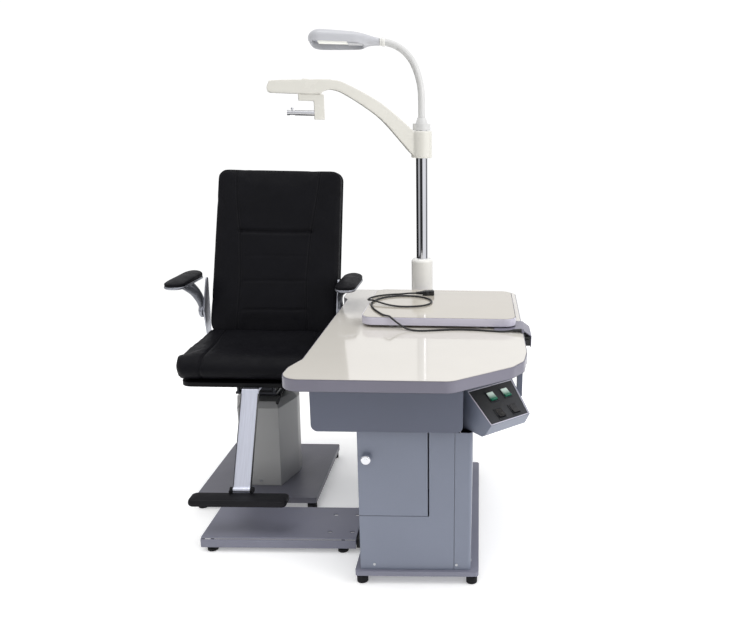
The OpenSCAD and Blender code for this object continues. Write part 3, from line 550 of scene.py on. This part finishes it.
world = bpy.data.worlds.new("studio")
scene.world = world
world.use_nodes = True
wn, wl = world.node_tree.nodes, world.node_tree.links


def rescaled(value, lo, hi):
    """A world value brought from lo..hi to 0..1."""
    n = wn.new("ShaderNodeMapRange")
    n.inputs["From Min"].default_value = lo
    n.inputs["From Max"].default_value = hi
    wl.new(value, n.inputs["Value"])
    return n.outputs[0]


def round_room(stops, blue=1.0):
    """Brightness round the horizon, from -X (0) through -Y (0.25), +X (0.5) and +Y (0.75)."""
    n = wn.new("ShaderNodeValToRGB")
    n.color_ramp.elements.remove(n.color_ramp.elements[1])
    for i, (place, v) in enumerate(stops):
        el = n.color_ramp.elements.new(place) if i else n.color_ramp.elements[0]
        el.position = place
        el.color = (v, v, v * blue, 1)
    wl.new(azimuth, n.inputs[0])
    return n.outputs[0]


def fading_up(low, high, height):
    """One colour low down, giving way to another as height goes from 0 to 1."""
    n = wn.new("ShaderNodeMix")
    n.data_type = "RGBA"
    n.inputs[7].default_value = high
    wl.new(height, n.inputs[0])
    wl.new(low, n.inputs[6])
    return n.outputs[2]


def either(choice, if_not, if_so):
    """One shader or another, as a light path output says."""
    n = wn.new("ShaderNodeMixShader")
    for i, socket in enumerate((choice, if_not, if_so)):
        wl.new(socket, n.inputs[i])
    return n.outputs[0]


split = wn.new("ShaderNodeSeparateXYZ")
wl.new(wn.new("ShaderNodeTexCoord").outputs["Generated"], split.inputs[0])
angle = wn.new("ShaderNodeMath")
angle.operation = "ARCTAN2"
wl.new(split.outputs["Y"], angle.inputs[0])
wl.new(split.outputs["X"], angle.inputs[1])
azimuth = rescaled(angle.outputs[0], -math.pi, math.pi)

backdrop = wn["Background"]
backdrop.inputs[0].default_value = (1, 1, 1, 1)
backdrop.inputs[1].default_value = 1.05
# What lights the object: soft boxes between dark flags, under a white ceiling
room = wn.new("ShaderNodeBackground")
room.inputs[1].default_value = 1.05
walls = round_room([(0.0, 0.06), (0.05, 0.06), (0.08, 0.4), (0.24, 0.25), (0.32, 0.25), (0.38, 1.1),
                    (0.54, 1.1), (0.58, 0.3), (0.66, 0.2), (0.86, 0.2), (0.9, 0.06)])
wl.new(fading_up(walls, (1, 1, 1, 1), rescaled(split.outputs["Z"], 0.12, 0.75)), room.inputs[0])
# What polished metal mirrors low down: pale walls parted by dark doorways
mirror = wn.new("ShaderNodeBackground")
doors = round_room([(0.0, 0.03), (0.045, 0.03), (0.06, 0.6), (0.15, 0.5), (0.17, 0.03), (0.29, 0.04),
                    (0.31, 1.0), (0.5, 1.0), (0.52, 0.12), (0.59, 0.12), (0.62, 0.9), (0.72, 0.8),
                    (0.76, 0.03)], 1.02)
wl.new(fading_up(doors, (0.9, 0.9, 0.92, 1), rescaled(split.outputs["Z"], -0.03, 0.1)), mirror.inputs[0])
path = wn.new("ShaderNodeLightPath")
unseen = either(path.outputs["Is Glossy Ray"], room.outputs[0], mirror.outputs[0])
wl.new(either(path.outputs["Is Camera Ray"], unseen, backdrop.outputs[0]), wn["World Output"].inputs[0])


def lamp(name, kind, place, target, power, size):
    """A sun's size is the angle that it fills, an area light's is its side in metres."""
    d = bpy.data.lights.new(name, kind)
    d.energy = power
    setattr(d, "size" if kind == "AREA" else "angle", size)
    o = bpy.data.objects.new(name, d)
    scene.collection.objects.link(o)
    o.location = place
    o.rotation_euler = (Vector(target) - Vector(place)).to_track_quat("-Z", "Y").to_euler()


lamp("sun", "SUN", (-0.5, -0.35, 4.5), (0, 0, 0), 0.75, math.radians(40))
lamp("right", "AREA", (2.4, -1.0, 2.2), (0.2, 0, 0.7), 19, 1.4)

# ---------------------------------------------------------------- cushions

LEAN = math.radians(20.6)
CLOTH_FRAMES = 20
CLOTH_PRESSURE = 1.5
BACK = Matrix.Translation(at(-328, 335, 750)) @ Matrix.Rotation(-LEAN, 4, "X")
SEAT = Matrix.Translation(at(-334, 157, 591))


def puffed(name, node, frame_of, shrink, voxel, cap, soften, swell=(0.12, 0.12, 0.35), free=(0, 0, 1)):
    """A copy of a CAD cushion in its own frame: shrunk, remeshed, softened and blown up by cloth pressure.

    The cover is cut to hold its outline, so it swells mostly on its free side. cap is the furthest that a
    point may move."""
    me = nodes[node].data.copy()
    me.name = name
    me.transform(frame_of.inverted())
    v = coords(me)
    lo, hi = v.min(0), v.max(0)
    mid, half = (lo + hi) / 2, (hi - lo) / 2
    set_coords(me, mid + (v - mid) * (1 - np.array(shrink) / half))
    o = bpy.data.objects.new(name, me)
    scene.collection.objects.link(o)
    modify(o, "REMESH", mode="VOXEL", voxel_size=voxel)
    modify(o, "SMOOTH", factor=0.5, iterations=soften)
    bake(o)
    start = coords(o.data)
    cloth = o.modifiers.new("cloth", "CLOTH")
    cloth.settings.use_pressure = True
    cloth.settings.uniform_pressure_force = CLOTH_PRESSURE
    cloth.settings.effector_weights.gravity = 0
    cloth.settings.quality = 5
    cloth.point_cache.frame_start = 1
    cloth.point_cache.frame_end = CLOTH_FRAMES
    for f in range(1, CLOTH_FRAMES + 1):
        scene.frame_set(f)
    bake(o)
    scene.frame_set(1)
    up = np.clip(start @ np.array(free, float) / 0.01 + 0.5, 0, 1)[:, None]
    moved = (coords(o.data) - start) * np.array(swell) * up
    far = np.linalg.norm(moved, axis=1, keepdims=True)
    set_coords(o.data, start + moved * np.minimum(1, cap / np.maximum(far, 1e-9)))
    # Brought back to the space that its CAD solid holds
    v = coords(o.data)
    a, b = v.min(0), v.max(0)
    set_coords(o.data, lo + (v - a) / (b - a) * (hi - lo))
    modify(o, "SUBSURF", levels=1, render_levels=1)
    return bake(o)


def dist_to_line(p, line):
    """Distance of 2-D points from a polyline."""
    best = np.full(len(p), 9.0)
    for a, b in zip(line, line[1:]):
        a, b = np.array(a) / 1000, np.array(b) / 1000
        d = b - a
        t = np.clip(((p - a) @ d) / (d @ d), 0, 1)
        best = np.minimum(best, np.linalg.norm(p - a - t[:, None] * d, axis=1))
    return best


def groove(v, plane, line, depth, width, way, mask):
    """Presses a seam into the points under mask, along way."""
    d = dist_to_line(v[:, plane], line)
    v += np.outer(np.exp(-(d / width) ** 2) * depth * mask, way)


def noise_field(v, scale, seed):
    """Smooth random values at the points, the same on every run."""
    return np.array([noise.noise(Vector(p) * scale + Vector((seed, 0, 0))) for p in v])


def dress(o, name, frame_of, body, node):
    """Puts a finished cushion in place in the model's frame."""
    o.data.transform(frame_of)
    me = o.data
    bpy.data.objects.remove(o)
    p = piece(name, me, "leather", body, node)
    return p


STITCH_STEP = 0.0075
THREAD = (0.0022, 0.0007, 0.0007)


def stitches(name, lines, surface, look, body):
    """Short threads laid along lines of points, dropped on to a surface along look."""
    tree = BVHTree.FromObject(surface, bpy.context.evaluated_depsgraph_get())
    bm = bmesh.new()
    for line in lines:
        walked = 0.0
        for a, b in zip(line, line[1:]):
            run = b - a
            while walked < run.length:
                p = a + run.normalized() * walked
                hit, normal, _, _ = tree.ray_cast(p - look * 0.15, look)
                walked += STITCH_STEP
                if hit is None:
                    continue
                along = (run - normal * run.dot(normal)).normalized()
                basis = Matrix((along, normal.cross(along), normal)).transposed().to_4x4()
                m = Matrix.Translation(hit + normal * 0.0002) @ basis @ Matrix.Diagonal((*THREAD, 1))
                bmesh.ops.create_uvsphere(bm, u_segments=6, v_segments=4, radius=1, matrix=m)
            walked -= run.length
    piece(name, from_bm(bm, name), "leather", body, mat=STITCH)


# ---------------------------------------------------------------- backrest

# Seams, as (x, z) in the backrest's own frame
SEAM_R = [(172, 568), (164, 469), (151, 363), (144, 316), (132, 106), (135, 27), (142, -92)]
SEAM_L = [(-x - 6, z) for x, z in SEAM_R]
FOLD = [(SEAM_L[3][0], 313), (-40, 311), (60, 311), (SEAM_R[3][0], 313)]

back = puffed("back_pad", "back_cushion", BACK, (0.010, 0.010, 0.010), 0.007, 0.022, 14,
              swell=(0.12, 0.4, 0.12), free=(0, -1, 0))
v = coords(back.data)
front = np.clip(-v[:, 1] / 0.03, 0, 1)
xz = [0, 2]
inside = (v[:, 0] > -0.135) & (v[:, 0] < 0.14)
# A slight swell for the small of the back
lumbar = np.exp(-((v[:, 2] - 0.205) / 0.085) ** 2) * np.cos(np.clip(v[:, 0] / 0.135, -1, 1) * 1.5)
v[:, 1] -= 0.004 * lumbar * inside * front
# A seam down each side, a deep fold across, and shallow creases between the seams
for seam in (SEAM_R, SEAM_L):
    groove(v, xz, seam, 0.0045, 0.005, (0, 1, 0), front)
groove(v, xz, FOLD, 0.009, 0.0075, (0, 1, 0), front)
for z, depth in ((104, 0.0020), (-16, 0.0024), (208, 0.0010)):
    crease = [(-122, z - 2), (-30, z + 1), (60, z), (134, z + 3)]
    groove(v, xz, crease, depth, 0.006, (0, 1, 0), front * inside)
v[:, 1] += 0.0012 * noise_field(v, 16, 3.0) * front
# The lower edge droops at the front until it lies on the seat
low = np.clip((-0.055 - v[:, 2]) / 0.045, 0, 1)
v[:, 2] -= 0.036 * low * np.clip(0.55 - v[:, 1] / 0.085, 0, 1)
set_coords(back.data, v)
back = dress(back, "back_pad", BACK, "chair_seat", "back_cushion")
into_back = (BACK.to_3x3() @ Vector((0, 1, 0))).normalized()


def back_line(points, dx):
    """A line of points beside a seam, a little in front of the backrest."""
    return [BACK @ Vector(((x + dx) / 1000, -0.043, z / 1000)) for x, z in points]


stitches("back_stitches", [back_line(SEAM_R, 5), back_line(SEAM_R, -5), back_line(SEAM_L, 5),
                           back_line(SEAM_L, -5)], back, into_back, "chair_seat")

# Piping where the front cover meets the side band
half_low, half_top, z_low, z_top, r = 262, 258, -94, 581, 38
edge = []
for cx, cz, start in ((half_top - r, z_top - r, 0), (r - half_top, z_top - r, 90),
                      (r - half_low, z_low + r, 180), (half_low - r, z_low + r, 270)):
    for a in (math.radians(start + 15 * k) for k in range(7)):
        x, z = cx + (r + 1) * math.cos(a), cz + (r + 1) * math.sin(a)
        edge.append(BACK @ Vector((x / 1000, 0.014, z / 1000)))
tube("back_piping", edge + edge[:2], 0.0028, "leather", "chair_seat")

# ---------------------------------------------------------------- seat

seat = puffed("seat_pad", "seat_cushion", SEAT, (0.009, 0.008, 0.008), 0.007, 0.022, 10)
v = coords(seat.data)
top = np.clip(v[:, 2] / 0.02, 0, 1)
ahead = np.clip((-0.12 - v[:, 1]) / 0.03, 0, 1)
# A seam near each side, over the top and down the front
for x in (-190, 190):
    d = np.abs(v[:, 0] - x / 1000)
    dip = np.exp(-(d / 0.005) ** 2)
    v[:, 2] -= 0.005 * dip * top
    v[:, 1] += 0.0045 * dip * ahead
# Side bolsters stand a little over the middle, and the middle is sat in
cross = np.clip(np.abs(v[:, 0]) / 0.262, 0, 1)
v[:, 2] += top * (0.004 * np.exp(-((cross - 0.86) / 0.12) ** 2)
                  - 0.006 * np.exp(-(cross / 0.55) ** 2) * np.exp(-((v[:, 1] - 0.02) / 0.11) ** 2))
# A seam runs round the sides
d = np.abs(v[:, 2] + 0.036)
out = v * np.array((1, 1, 0))
out /= np.maximum(np.linalg.norm(out, axis=1, keepdims=True), 1e-6)
v -= out * (0.003 * np.exp(-(d / 0.004) ** 2))[:, None]
v[:, 2] += 0.0016 * noise_field(v, 14, 9.0) * top
# The back of the top swells to meet the backrest
v[:, 2] += 0.030 * np.clip((v[:, 1] + 0.06) / 0.18, 0, 1) ** 1.5 * top
# Its sides belly out half way up and draw in underneath
v += out * (0.005 * np.exp(-((v[:, 2] - 0.002) / 0.022) ** 2)
            - 0.010 * np.clip((-0.03 - v[:, 2]) / 0.02, 0, 1) ** 2)[:, None]
set_coords(seat.data, v)
seat = dress(seat, "seat_pad", SEAT, "chair_seat", "seat_cushion")
stitches("seat_stitches", [[SEAT @ Vector(((x + dx) / 1000, y / 1000, 0.05)) for y in (-165, 150)]
                           for x in (-190, 190) for dx in (-5, 5)], seat, Vector((0, 0, -1)), "chair_seat")

# ---------------------------------------------------------------- armrests

PAD_X, PAD_Y, PAD_Z = 330, 252, 882.3
HUB_X, HUB_Y, HUB_Z = 274, 300, 742


def beside(side, x, y, z):
    """A point x millimetres out from the chair's middle, on one side of it."""
    return at(-334 + side * x, y, z)


def arm_pad(side, tag):
    mid = Matrix.Translation(beside(side, PAD_X, PAD_Y, PAD_Z))
    pad = puffed("arm_pad_" + tag, "armrest_pad_" + tag, mid, (0.004, 0.004, 0.003), 0.004, 0.008, 9)
    v = coords(pad.data)
    # Crowned across, and rounded down towards the hand
    v[:, 2] -= np.clip(v[:, 2] / 0.014, 0, 1) * (0.007 * (v[:, 0] / 0.039) ** 2
                                                 + 0.010 * np.clip((-v[:, 1] - 0.05) / 0.078, 0, 1) ** 2)
    set_coords(pad.data, v)
    dress(pad, "arm_pad_" + tag, mid, tag + "_armrest", "armrest_pad_" + tag)


def pad_rim(side, tag):
    """Bright rim that the pad sits in."""
    profile = [(-6, -16), (-1, -19), (0.8, -17), (1.4, -13), (0.6, -9.5), (-2, -9.8), (-6, -12)]
    rings = [[beside(side, PAD_X, PAD_Y, PAD_Z) + Vector((x, y, z)) / 1000
              for x, y in round_rect(78 + 2 * grow, 255 + 2 * grow, 38 + grow, 12)] for grow, z in profile]
    bm = loft(rings + rings[:1], cap=False)
    bmesh.ops.remove_doubles(bm, verts=bm.verts, dist=1e-6)
    piece("pad_rim_" + tag, from_bm(bm, "pad_rim_" + tag), "silver_paint", tag + "_armrest")


def arm_bar(side, tag, spine, half_x):
    """Cast arm from the hub up and out to the pad, through spine points with a half width at each."""
    half_y = [17, 25, 23, 19, 18, 24, 33]
    last = len(spine) - 2
    per_span, around = 5, 28
    spine = catmull(spine, (last + 1) * per_span)
    rings = []
    for i, p in enumerate(spine):
        t = (spine[min(i + 1, len(spine) - 1)] - spine[max(i - 1, 0)]).normalized()
        k = min(i // per_span, last)
        f = i / per_span - k
        hx = half_x[k] + (half_x[k + 1] - half_x[k]) * f
        hy = half_y[k] + (half_y[k + 1] - half_y[k]) * f
        deep = (Vector((0, 1, 0)) - t * t.y).normalized()
        wide = deep.cross(t)
        ring = []
        for a in (2 * math.pi * q / around for q in range(around)):
            c, n = math.cos(a), math.sin(a)
            q = p + wide * hx * math.copysign(abs(c) ** 0.55, c) + deep * hy * math.copysign(abs(n) ** 0.8, n)
            ring.append(beside(side, *q))
        rings.append(ring)
    # The bar is drawn in the darker copy of the silver paint: painted shade
    piece("arm_bar_" + tag, from_bm(loft(rings), "arm_bar_" + tag), "silver_paint", tag + "_armrest",
          "armrest_" + tag, mat=MATS["shaded_silver"])


def arm_hub(side, tag):
    """Turned hub with a recessed cap."""
    hub = [(0, 0.6), (26, 0.6), (29.4, 2), (30, 4), (30, 13), (28.8, 16), (26, 17.6), (20, 18), (18.6, 17),
           (17.6, 15.4), (8, 15), (6.6, 16.4), (0, 16.6)]
    bm = lathe([(r / 1000, h / 1000) for r, h in hub], beside(side, HUB_X, HUB_Y, HUB_Z), (side, 0, 0))
    piece("arm_hub_" + tag, from_bm(bm, "arm_hub_" + tag), "silver_paint", tag + "_armrest")


LEFT_BAR = ([(283.3, 300, 716), (283.3, 300, 742), (284, 297, 768), (289.5, 288, 796), (300, 274, 826),
             (316, 260, 850), (330, 252, 863)], [8.6, 8.9, 10, 15, 19, 21, 20])
# The right one keeps clear of the tabletop when the seat tilts back
RIGHT_BAR = ([(283.3, 300, 716), (283.3, 300, 742), (283.3, 298, 768), (283.4, 292, 797), (290, 281, 825),
              (308, 266, 848), (328, 252, 863)], [8.6, 8.9, 8.9, 9.0, 11.5, 16, 18])
for side, tag, bar in ((-1, "left", LEFT_BAR), (1, "right", RIGHT_BAR)):
    arm_pad(side, tag)
    pad_rim(side, tag)
    arm_bar(side, tag, *bar)
    arm_hub(side, tag)

# ---------------------------------------------------------------- instrument arm

COL_X, COL_Y = 272, 480
# Distance along the arm of the bracket's pivot
PIVOT = 0.457
ARM = Matrix.Translation(at(COL_X, COL_Y, 0)) @ Matrix.Rotation(math.radians(195), 4, "Z")
# Side outline of the arm: distance from the column's middle, height above the floor
upper = [(31, 1466), (85, 1513), (163, 1574), (240, 1617), (317, 1652), (355, 1659), (394, 1660), (575, 1651),
         (594, 1643), (603, 1625), (601, 1608)]
lower = [(590, 1604), (415, 1604), (400, 1609), (384, 1618), (368, 1622), (350, 1621), (318, 1611),
         (241, 1567), (164, 1511), (86, 1426), (60, 1396), (44, 1380), (31, 1372)]
outline = [(x, z) for part in (upper, lower) for x, _, z in catmull([(x, 0, z) for x, z in part], 60)]
bm = bmesh.new()
flat = [[bm.verts.new(ARM @ Vector((x / 1000, y, z / 1000))) for x, z in outline] for y in (-0.024, 0.024)]
caps = [bm.faces.new(row) for row in flat]
for k in range(len(outline)):
    j = (k + 1) % len(outline)
    bm.faces.new((flat[0][k], flat[0][j], flat[1][j], flat[1][k]))
rim = [e for cap in caps for e in cap.edges]
bmesh.ops.bevel(bm, geom=rim, offset=0.007, segments=4, affect="EDGES", profile=0.6)
blade = from_bm(bm, "blade")
hub_place = at(COL_X, COL_Y, 1363)
hub = from_bm(lathe([(0, 0), (0.040, 0), (0.0425, 0.0015), (0.043, 0.004), (0.043, 0.105), (0.0425, 0.1075),
                     (0.040, 0.109), (0, 0.109)], hub_place, (0, 0, 1), 96), "hub")
bm = bmesh.new()
bm.from_mesh(blade)
bm.from_mesh(hub)
casting = piece("instrument_arm", from_bm(bm, "instrument_arm"), "cream_paint", "arm", "arm_casting")
modify(casting, "REMESH", mode="VOXEL", voxel_size=0.0022)
modify(casting, "SMOOTH", factor=0.5, iterations=7)
bake(casting)
cutters = []
for name, radius, low, high, place, steps in (
        ("bore", 0.028, -0.01, 0.12, hub_place, 64),
        ("pivot", 0.00606, -0.006, 0.045, ARM @ Vector((PIVOT, 0, 1.6)), 32)):
    rod = lathe([(0, low), (radius, low), (radius, high), (0, high)], place, (0, 0, 1), steps)
    cutters.append(bpy.data.objects.new(name, from_bm(rod, name)))
    scene.collection.objects.link(cutters[-1])
for cutter in cutters:
    modify(casting, "BOOLEAN", operation="DIFFERENCE", object=cutter, solver="EXACT")
bake(casting)
for cutter in cutters:
    bpy.data.objects.remove(cutter)
casting.data.materials.clear()
casting.data.materials.append(MATS["cream_paint"])
casting.data.polygons.foreach_set("use_smooth", [True] * len(casting.data.polygons))

# Turned cover band near the arm's end, over the bracket's pivot
bm = bmesh.new()
bmesh.ops.create_cone(bm, cap_ends=True, segments=48, radius1=0.014, radius2=0.0125, depth=0.0035,
                      matrix=Matrix.Translation(ARM @ Vector((PIVOT, 0, 1.6583))))
cap = piece("pivot_cap", from_bm(bm, "pivot_cap"), "cream_paint", "arm")
modify(cap, "BEVEL", width=0.001, segments=3, limit_method="ANGLE")
bake(cap)

# ---------------------------------------------------------------- lamp head

# The gooseneck rises from the lamp's ring, bends over in a wide arc and ends in a tighter one
RING_TOP, RISE, WIDE_BEND, END_BEND = 1524, 76, 302, 150
WIDE_ANGLE = math.radians(24.4)
head_x = COL_X - WIDE_BEND * (1 - math.cos(WIDE_ANGLE)) - END_BEND * math.cos(WIDE_ANGLE)
head_z = RING_TOP + RISE + WIDE_BEND * math.sin(WIDE_ANGLE) + END_BEND * (1 - math.sin(WIDE_ANGLE))
HEAD = Matrix.Translation(at(head_x - 0.3, COL_Y, head_z)) @ Matrix.Rotation(math.radians(-16), 4, "X")

# Shade sections along the head: place, half width, height over and under the middle, and the middle's height
SECTIONS = [(0, 15, 15, 15, 0), (-14, 15.5, 15.3, 15.3, 0.5), (-40, 25, 19.5, 19, 3),
            (-62, 34, 23.5, 24, 4.6), (-95, 42.5, 28.4, 26, 6), (-140, 46.4, 31, 26, 6),
            (-190, 49.6, 33.8, 26, 6), (-234, 51.8, 35.8, 26, 6)]
NOSE_FROM = -234
WALL = 3.2


def section_at(x):
    """Half width, over, under and middle at a place along the shade, by straight-line lookup."""
    for a, b in zip(SECTIONS, SECTIONS[1:]):
        if a[0] >= x >= b[0]:
            f = (a[0] - x) / (a[0] - b[0])
            return [p + (q - p) * f for p, q in zip(a[1:], b[1:])]
    return list(SECTIONS[-1][1:])


def shade_ring(x):
    """Outside of the shade at x, from the underside round the top, then its inside back again."""
    half, over, under, mid_z = section_at(max(x, NOSE_FROM))
    if x < NOSE_FROM:
        k = math.sqrt(max(0.0, 1 - ((x - NOSE_FROM) / 52) ** 2))
        half, over = half * k, over * k
        under = min(under, 35.8 * k)
    # How far the underside is opened into the shade
    open_up = max(0.0, min(1.0, (-70 - x) / 8)) * max(0.0, min(1.0, (x + 279) / 8))
    # Past the throat the sides come straight down to a rim at nearly full width
    skirt = max(0.0, min(1.0, (-48 - x) / 30))
    ring = []
    for k in range(25):
        a = math.pi * (1.998 * k / 24 - 0.4995)
        c, n = math.cos(a), math.sin(a)
        y = half * c
        z = mid_z + (over if n > 0 else under) * n
        if n < 0:
            full = half * (0.955 + 0.045 * (1 + n)) * math.copysign(1, c if abs(c) > 1e-6 else 1)
            y += (full - y) * skirt
        ring.append((y, z))
    y0, z0 = ring[-1]
    y1 = ring[0][0]
    inner = []
    for k in range(25):
        f = k / 24
        a = math.pi * (1 - f)
        flat_y = (y0 + (y1 - y0) * f) * 0.9
        flat_z = z0 + 0.4
        hollow_y = (half - WALL) * math.cos(a) * 0.94
        hollow_z = max(mid_z + (over - WALL) * math.sin(a), flat_z)
        inner.append((flat_y + (hollow_y - flat_y) * open_up, flat_z + (hollow_z - flat_z) * open_up))
    return [HEAD @ (Vector((x, y, z)) / 1000) for y, z in ring + inner]


stations = [0, -7, -14, -26, -40, -50, -62, -70, -74, -84, -95, -116, -140, -165, -190, -212, NOSE_FROM]
stations += [NOSE_FROM - 51.5 * math.sin(math.radians(a)) for a in (15, 30, 42, 52, 61, 69, 76, 82, 87)]
bm = loft([shade_ring(x) for x in stations])
shell = piece("lamp_shade", from_bm(bm, "lamp_shade"), "shade", "lamp_head", "lamp_shell",
              mat=MATS["lamp_grey"])
modify(shell, "WELD", merge_threshold=0.0002)
modify(shell, "SUBSURF", levels=1, render_levels=1)
bake(shell)

# Bright reflector plate over the tubes, with rolled edges
rings = []
for x in (-74, -80, -120, -160, -200, -240, -262, -268):
    half = section_at(max(x, NOSE_FROM))[0] * 0.62 * (1 if x > -250 else 0.62)
    lift = 13 if -262 < x < -76 else 6
    rings.append([HEAD @ (Vector((x, half * math.cos(a), lift * math.sin(a) + 3)) / 1000)
                  for a in (math.pi * k / 16 for k in range(17))])
bm = loft(rings, closed=False, cap=False)
reflector = piece("lamp_reflector", from_bm(bm, "lamp_reflector"), "aluminium", "lamp_head")
modify(reflector, "SOLIDIFY", thickness=0.0008)
bake(reflector)

# Turned nut and socket where the head meets the neck
bm = lathe([(0.0143, -0.020), (0.0165, -0.019), (0.0172, -0.017), (0.0172, -0.009), (0.0165, -0.007),
            (0.0156, -0.0065), (0.0156, -0.0035), (0.0162, -0.003), (0.0162, -0.0004), (0.0150, 0.0)],
           HEAD.translation, (-1, 0, 0), 48)
piece("neck_nut", from_bm(bm, "neck_nut"), "white_paint", "lamp")

# ---------------------------------------------------------------- trim

# Pale bead round the switch panel
corners = [(2.4, 2.4), (160.4, 2.4), (188, 141), (2.4, 141)]
bead = []
for (x0, y0), (x1, y1) in zip(corners, corners[1:] + corners[:1]):
    bead += [on_face(x0 + (x1 - x0) * k / 12, y0 + (y1 - y0) * k / 12, 0.9) for k in range(12)]
tube("panel_bead", bead + bead[:1], 0.0013, "cabinet_paint", "base", mat=MATS["lit_tray_band"])


def swept_slab(name, path, width, x0, x1, round_off, slot, body, mat=None):
    """A strip of constant width following a path in the y-z plane, between two x planes."""
    bm = bmesh.new()
    rows = []
    for i, (y, z) in enumerate(path):
        a, b = path[max(i - 1, 0)], path[min(i + 1, len(path) - 1)]
        run = Vector((b[0] - a[0], b[1] - a[1])).normalized()
        side = Vector((-run.y, run.x)) * width / 2
        rows.append([bm.verts.new(at(x, y + s * side.x, z + s * side.y))
                     for x, s in ((x0, -1), (x1, -1), (x1, 1), (x0, 1))])
    for a, b in zip(rows, rows[1:]):
        for k in range(4):
            bm.faces.new((a[k], a[(k + 1) % 4], b[(k + 1) % 4], b[k]))
    bm.faces.new(rows[0])
    bm.faces.new(rows[-1])
    o = piece(name, from_bm(bm, name), slot, body, mat=mat, smooth=False)
    modify(o, "BEVEL", width=round_off, segments=2, limit_method="ANGLE")
    bake(o)


# Folded side flanges of the footrest bar: thin black plates, partly painted shade on the bar's dark side
# faces
FOOT_X = -338
for side, x0, x1 in (("left", -31.6, -31.0), ("right", 31.0, 31.6)):
    swept_slab("footbar_shaded_flange_" + side, [(-36, 506), (-110, 365), (-196, 202)], 19.4, FOOT_X + x0,
               FOOT_X + x1, 0.0002, "black_paint", "chair_seat")

# Rubber over the tread: place along it, depth, height and corner radius, from one end to the middle
tread_half = [(174.4, 44, 13, 6), (173.4, 54, 20, 9), (170, 61, 25.6, 12), (166, 62, 27.4, 13),
              (151, 62, 27.4, 13), (147, 61.4, 25.2, 12)]
rings = []
for dx, deep, tall, r in [(-x, *rest) for x, *rest in tread_half] + tread_half[::-1]:
    rings.append([at(FOOT_X + dx, -240 + y, 174 + z)
                  for y, z in round_rect(deep, tall, min(r, tall / 2 - 0.1), 6)])
tread = piece("tread_rubber", from_bm(loft(rings), "tread_rubber"), "rubber",
              body_of(nodes["footrest_tread"])[0])
modify(tread, "BEVEL", width=0.0008, segments=2, limit_method="ANGLE", angle_limit=math.radians(50))
bake(tread)

# Hanger under the table's right side, seen past the switch box, in the darker copy of the cabinet paint:
# painted shade
swept_slab("under_table_hanger", [(-82, 742.3), (-82, 536)], 44, 663, 683, 0.002, "cabinet_paint", "base",
           mat=MATS["shaded_cabinet_paint"])

# ---------------------------------------------------------------- the CAD parts that show as they are

edged(0.0024, "table_edge_band", "tray_edge_band", smooth=True)
edged(0.0008, "tray_carriage", "footrest_arm", "seat_shell")
edged(0.0030, "phoropter_bracket", smooth=True)
edged(0.0007, "rocker_green_left", "rocker_green_right", "rocker_black_left", "rocker_black_right")

SPECIAL = {"apron_box": "shaded_cabinet_paint", "chair_base_plate": "shaded_chair_plate", "tray_edge_band": "lit_tray_band",
           "lamp_neck": "neck_white", "lamp_ring": "neck_white", "tray_board": "tray_laminate",
           "seat_mechanism": "mech_paint", "chair_frame": "frame_steel", "seat_shell": "shell_black",
           "lift_inner": "mech_paint"}
SLOTS = {part["node"]: part["material_slot"] for part in frame["record"]["subparts"]}
for name, o in nodes.items():
    for holder in o.material_slots:
        holder.material = MATS[SPECIAL.get(name, SLOTS[name])]
